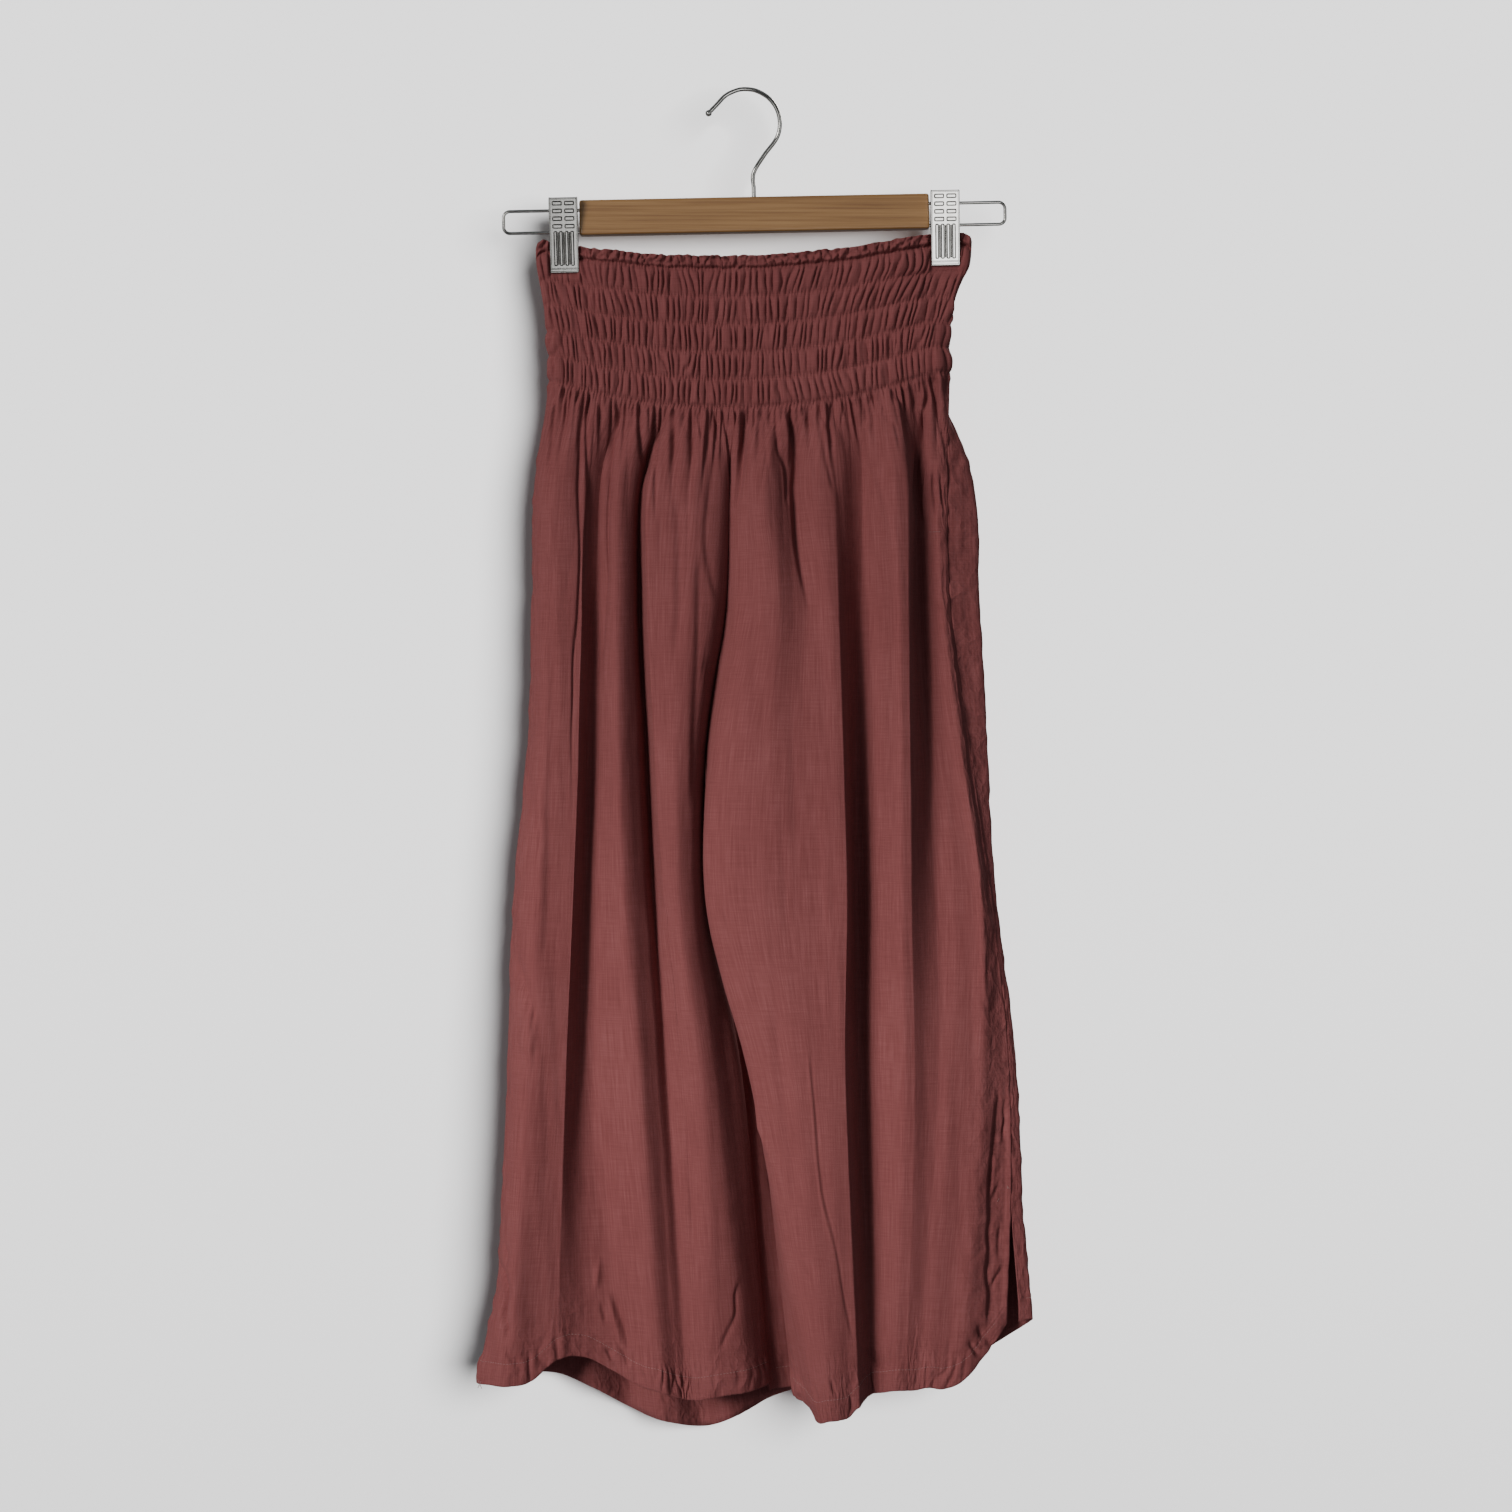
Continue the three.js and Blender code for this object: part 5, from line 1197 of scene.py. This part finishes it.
def make_jaw(word, side, face):
    """A pressed jaw: oval grips across its handle, ribs down to its lip, and a rolled lip at the bottom."""
    bm = bmesh.new()
    x = BAR["x"] + side * CLIP["x"]
    width = CLIP["width"] if face > 0 else CLIP["width"] - 2 * CLIP["wall"] - 0.8
    tip = CLIP["top"] - CLIP["length"]
    middle = CLIP["top"] - CLIP["length"] / 2
    wall = CLIP["wall"]
    long = CLIP["length"]
    rounded_box(bm, (x, -wall / 2, middle), (width, wall, long), 0.35)
    for edge in (-1, 1):
        flange_x = x + edge * (width - wall) / 2
        rounded_box(bm, (flange_x, CLIP["flange"] / 2 - 0.5, middle + 12), (wall, CLIP["flange"], long - 24), 0.3)
        rounded_box(bm, (x + edge * (width / 2 - 0.8), -wall - 0.1, middle), (1.2, 0.9, long - 1), 0.4)
    for z in (CLIP["top"] - 0.8, tip + 0.9, tip + 3.4):
        rounded_box(bm, (x, -wall - 0.15, z), (width - 0.6, 1.0, 1.3), 0.45)
    for place in (-1.5, -0.5, 0.5, 1.5):
        centre = (x + place * RIB["pitch"], -wall + 0.1, tip + RIB["above_tip"])
        rounded_box(bm, centre, RIB["size"], PRESSED_ROUND)
    for place in (-1, 0, 1):
        rounded_box(bm, (x + place * RIB["pitch"], -wall, tip + RIB["above_tip"]), RIB["groove"], 0.02)
    for row in range(4):
        for column in (-1, 1):
            z = CLIP["top"] - OVAL["below_top"] - row * OVAL["pitch"]
            rounded_box(bm, (x + column * OVAL["across"], -wall + 0.1, z), OVAL["size"], PRESSED_ROUND)
    bm.normal_update()
    for facet in bm.faces:
        out = -wall - facet.calc_center_median().y
        if out > 0.04 and (abs(facet.normal.y) < 0.98 or out < 0.15):
            facet.material_index = 1  # the ribs' and ovals' slopes, and the grooves between the ribs, get painted shade
    lean = Matrix.Translation((0, 0, tip)) @ Matrix.Rotation(CLIP["lean"], 4, "X")
    lean = lean @ Matrix.Translation((0, -CLIP["bite"], -tip))
    bmesh.ops.transform(bm, matrix=lean, verts=bm.verts)
    lower = RAIL["z"] - RAIL["spread"] / 2
    for edge in (-1, 1):
        rounded_box(bm, (x + edge * (width - wall) / 2, -2.5, lower), (wall, 9.6, 7), 0.4)
    mirror = Matrix.Diagonal((1, face, 1, 1))
    if face < 0:
        bmesh.ops.reverse_faces(bm, faces=bm.faces)
    mesh = mesh_of(bm, "jaw", HANG @ mirror)
    where = "front" if face > 0 else "back"
    jaw = new_object(f"jaw_{word}_{where}", mesh, NICKEL, "steel")
    # The second slot paints shade on the pressed slopes and grooves.
    jaw.data.materials.append(PAINTED_SHADE_NICKEL)
    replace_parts(jaw, f"clip_{word}_{where}")


def make_spring(word, side):
    lower = RAIL["z"] - RAIL["spread"] / 2
    x = BAR["x"] + side * CLIP["x"]
    half, radius = COIL["half"], COIL["radius"]
    angles = [(t, 2 * math.pi * COIL["turns"] * t) for t in np.linspace(0, 1, 18 * COIL["turns"] + 1)]
    coil = [(x + half * (2 * t - 1), radius * math.cos(a), lower + radius * math.sin(a)) for t, a in angles]
    piece = new_object("spring_" + word, tube("spring", hung(coil), COIL["wire"], 8), NICKEL, "steel")
    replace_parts(piece, f"clip_{word}_spring")


def make_hanger():
    make_bar()
    make_hook()
    for word, side in (("right", -1), ("left", 1)):
        make_rail(word, side)
        make_spring(word, side)
        for face in (1, -1):
            make_jaw(word, side, face)


# ---------------------------------------------------------------- stage


def stage_material(name, grey, see_through_back):
    """A dull plain grey, which may be clear from behind."""
    n = Nodes(name)
    n.set(Base_Color=(grey, grey, grey, 1), Roughness=0.95, Specular_IOR_Level=0.0)
    if see_through_back:
        back = n.tree.nodes.new("ShaderNodeNewGeometry").outputs["Backfacing"]
        clear = n.tree.nodes.new("ShaderNodeBsdfTransparent")
        mix = n.add("ShaderNodeMixShader", {0: back})
        n.tree.links.new(n.shader.outputs[0], mix.inputs[1])
        n.tree.links.new(clear.outputs[0], mix.inputs[2])
        n.tree.links.new(mix.outputs[0], n.tree.nodes["Material Output"].inputs[0])
    return n.material


def glow_material(name, glow):
    n = Nodes(name)
    n.set(Base_Color=(0, 0, 0, 1), Specular_IOR_Level=0.0, Emission_Color=(1, 1, 1, 1), Emission_Strength=glow)
    return n.material


def make_plane(name, corners, material):
    mesh = bpy.data.meshes.new(name)
    mesh.from_pydata(corners, [], [(0, 1, 2, 3)])
    made = new_object(name, mesh, material)
    return made


def make_light(name, kind, pointing, strength, colour, lit, **settings):
    data = bpy.data.lights.new(name, kind)
    data.energy = strength
    data.color = colour
    for key, value in settings.items():
        setattr(data, key, value)
    made = bpy.data.objects.new(name, data)
    bpy.context.scene.collection.objects.link(made)
    made.rotation_euler = Vector(pointing).to_track_quat("-Z", "Y").to_euler()
    made.light_linking.receiver_collection = lit
    return made


def make_sun(name, direction, angle, strength, colour, lit):
    make_light(name, "SUN", direction, strength, colour, lit, angle=math.radians(angle))


def make_spot(name, place, towards, size, tall, radius, power, colour, lit):
    made = make_light(name, "SPOT", Vector(towards) - Vector(place), power, colour, lit,
                      spot_size=math.radians(size), spot_blend=1.0, shadow_soft_size=radius)
    made.location = place
    made.scale = (1, tall, 1)


def collection_of(name, objects):
    made = bpy.data.collections.new(name)
    for thing in objects:
        made.objects.link(thing)
    return made


def make_stage():
    """A pale wall and floor, a key light from the left on the part, and one from the right for the wall's shadow."""
    part = [thing for thing in bpy.context.scene.objects if thing.type == "MESH"]
    ends = ((-1, 0), (1, 0), (1, 1), (-1, 1))
    corners = [(side * STAGE_HALF, lerp(-4, 4, far), FLOOR_Z) for side, far in ends]
    floor = make_plane("floor", corners, stage_material("floor", FLOOR_GREY, False))
    corners = [(side * STAGE_HALF, WALL_Y, lerp(FLOOR_Z, WALL_TOP, up)) for side, up in ends]
    wall = make_plane("wall", corners, stage_material("wall", WALL_GREY, True))
    wall.visible_shadow = wall.visible_diffuse = floor.visible_diffuse = False
    wall.visible_glossy = floor.visible_glossy = False
    lit, behind = collection_of("part_lit", part), collection_of("stage_lit", [wall, floor])
    for name, direction, angle, strength, colour in PART_LIGHTS:
        make_sun(name, direction, angle, strength, colour, lit)
    make_spot("leg_light", *LEG_LIGHT, lit)
    make_sun("wall_light", *WALL_LIGHT, behind)
    for name, corners, glow in CARDS:
        card = make_plane(name, corners, glow_material(name, glow))
        card.visible_camera = card.visible_diffuse = card.visible_shadow = card.visible_transmission = False
    world = bpy.data.worlds.new("studio")
    world.use_nodes = True
    background = world.node_tree.nodes["Background"]
    background.inputs[0].default_value = (*SKY, 1)
    background.inputs[1].default_value = SKY_STRENGTH
    bpy.context.scene.world = world


# ---------------------------------------------------------------- making it all

pieces = {name: make_panel(name) for name in PANELS}
bag = make_pocket_bag()
trims = make_stitching()
for name, piece in pieces.items():
    panel = PANELS[name]
make_hanger()
make_stage()
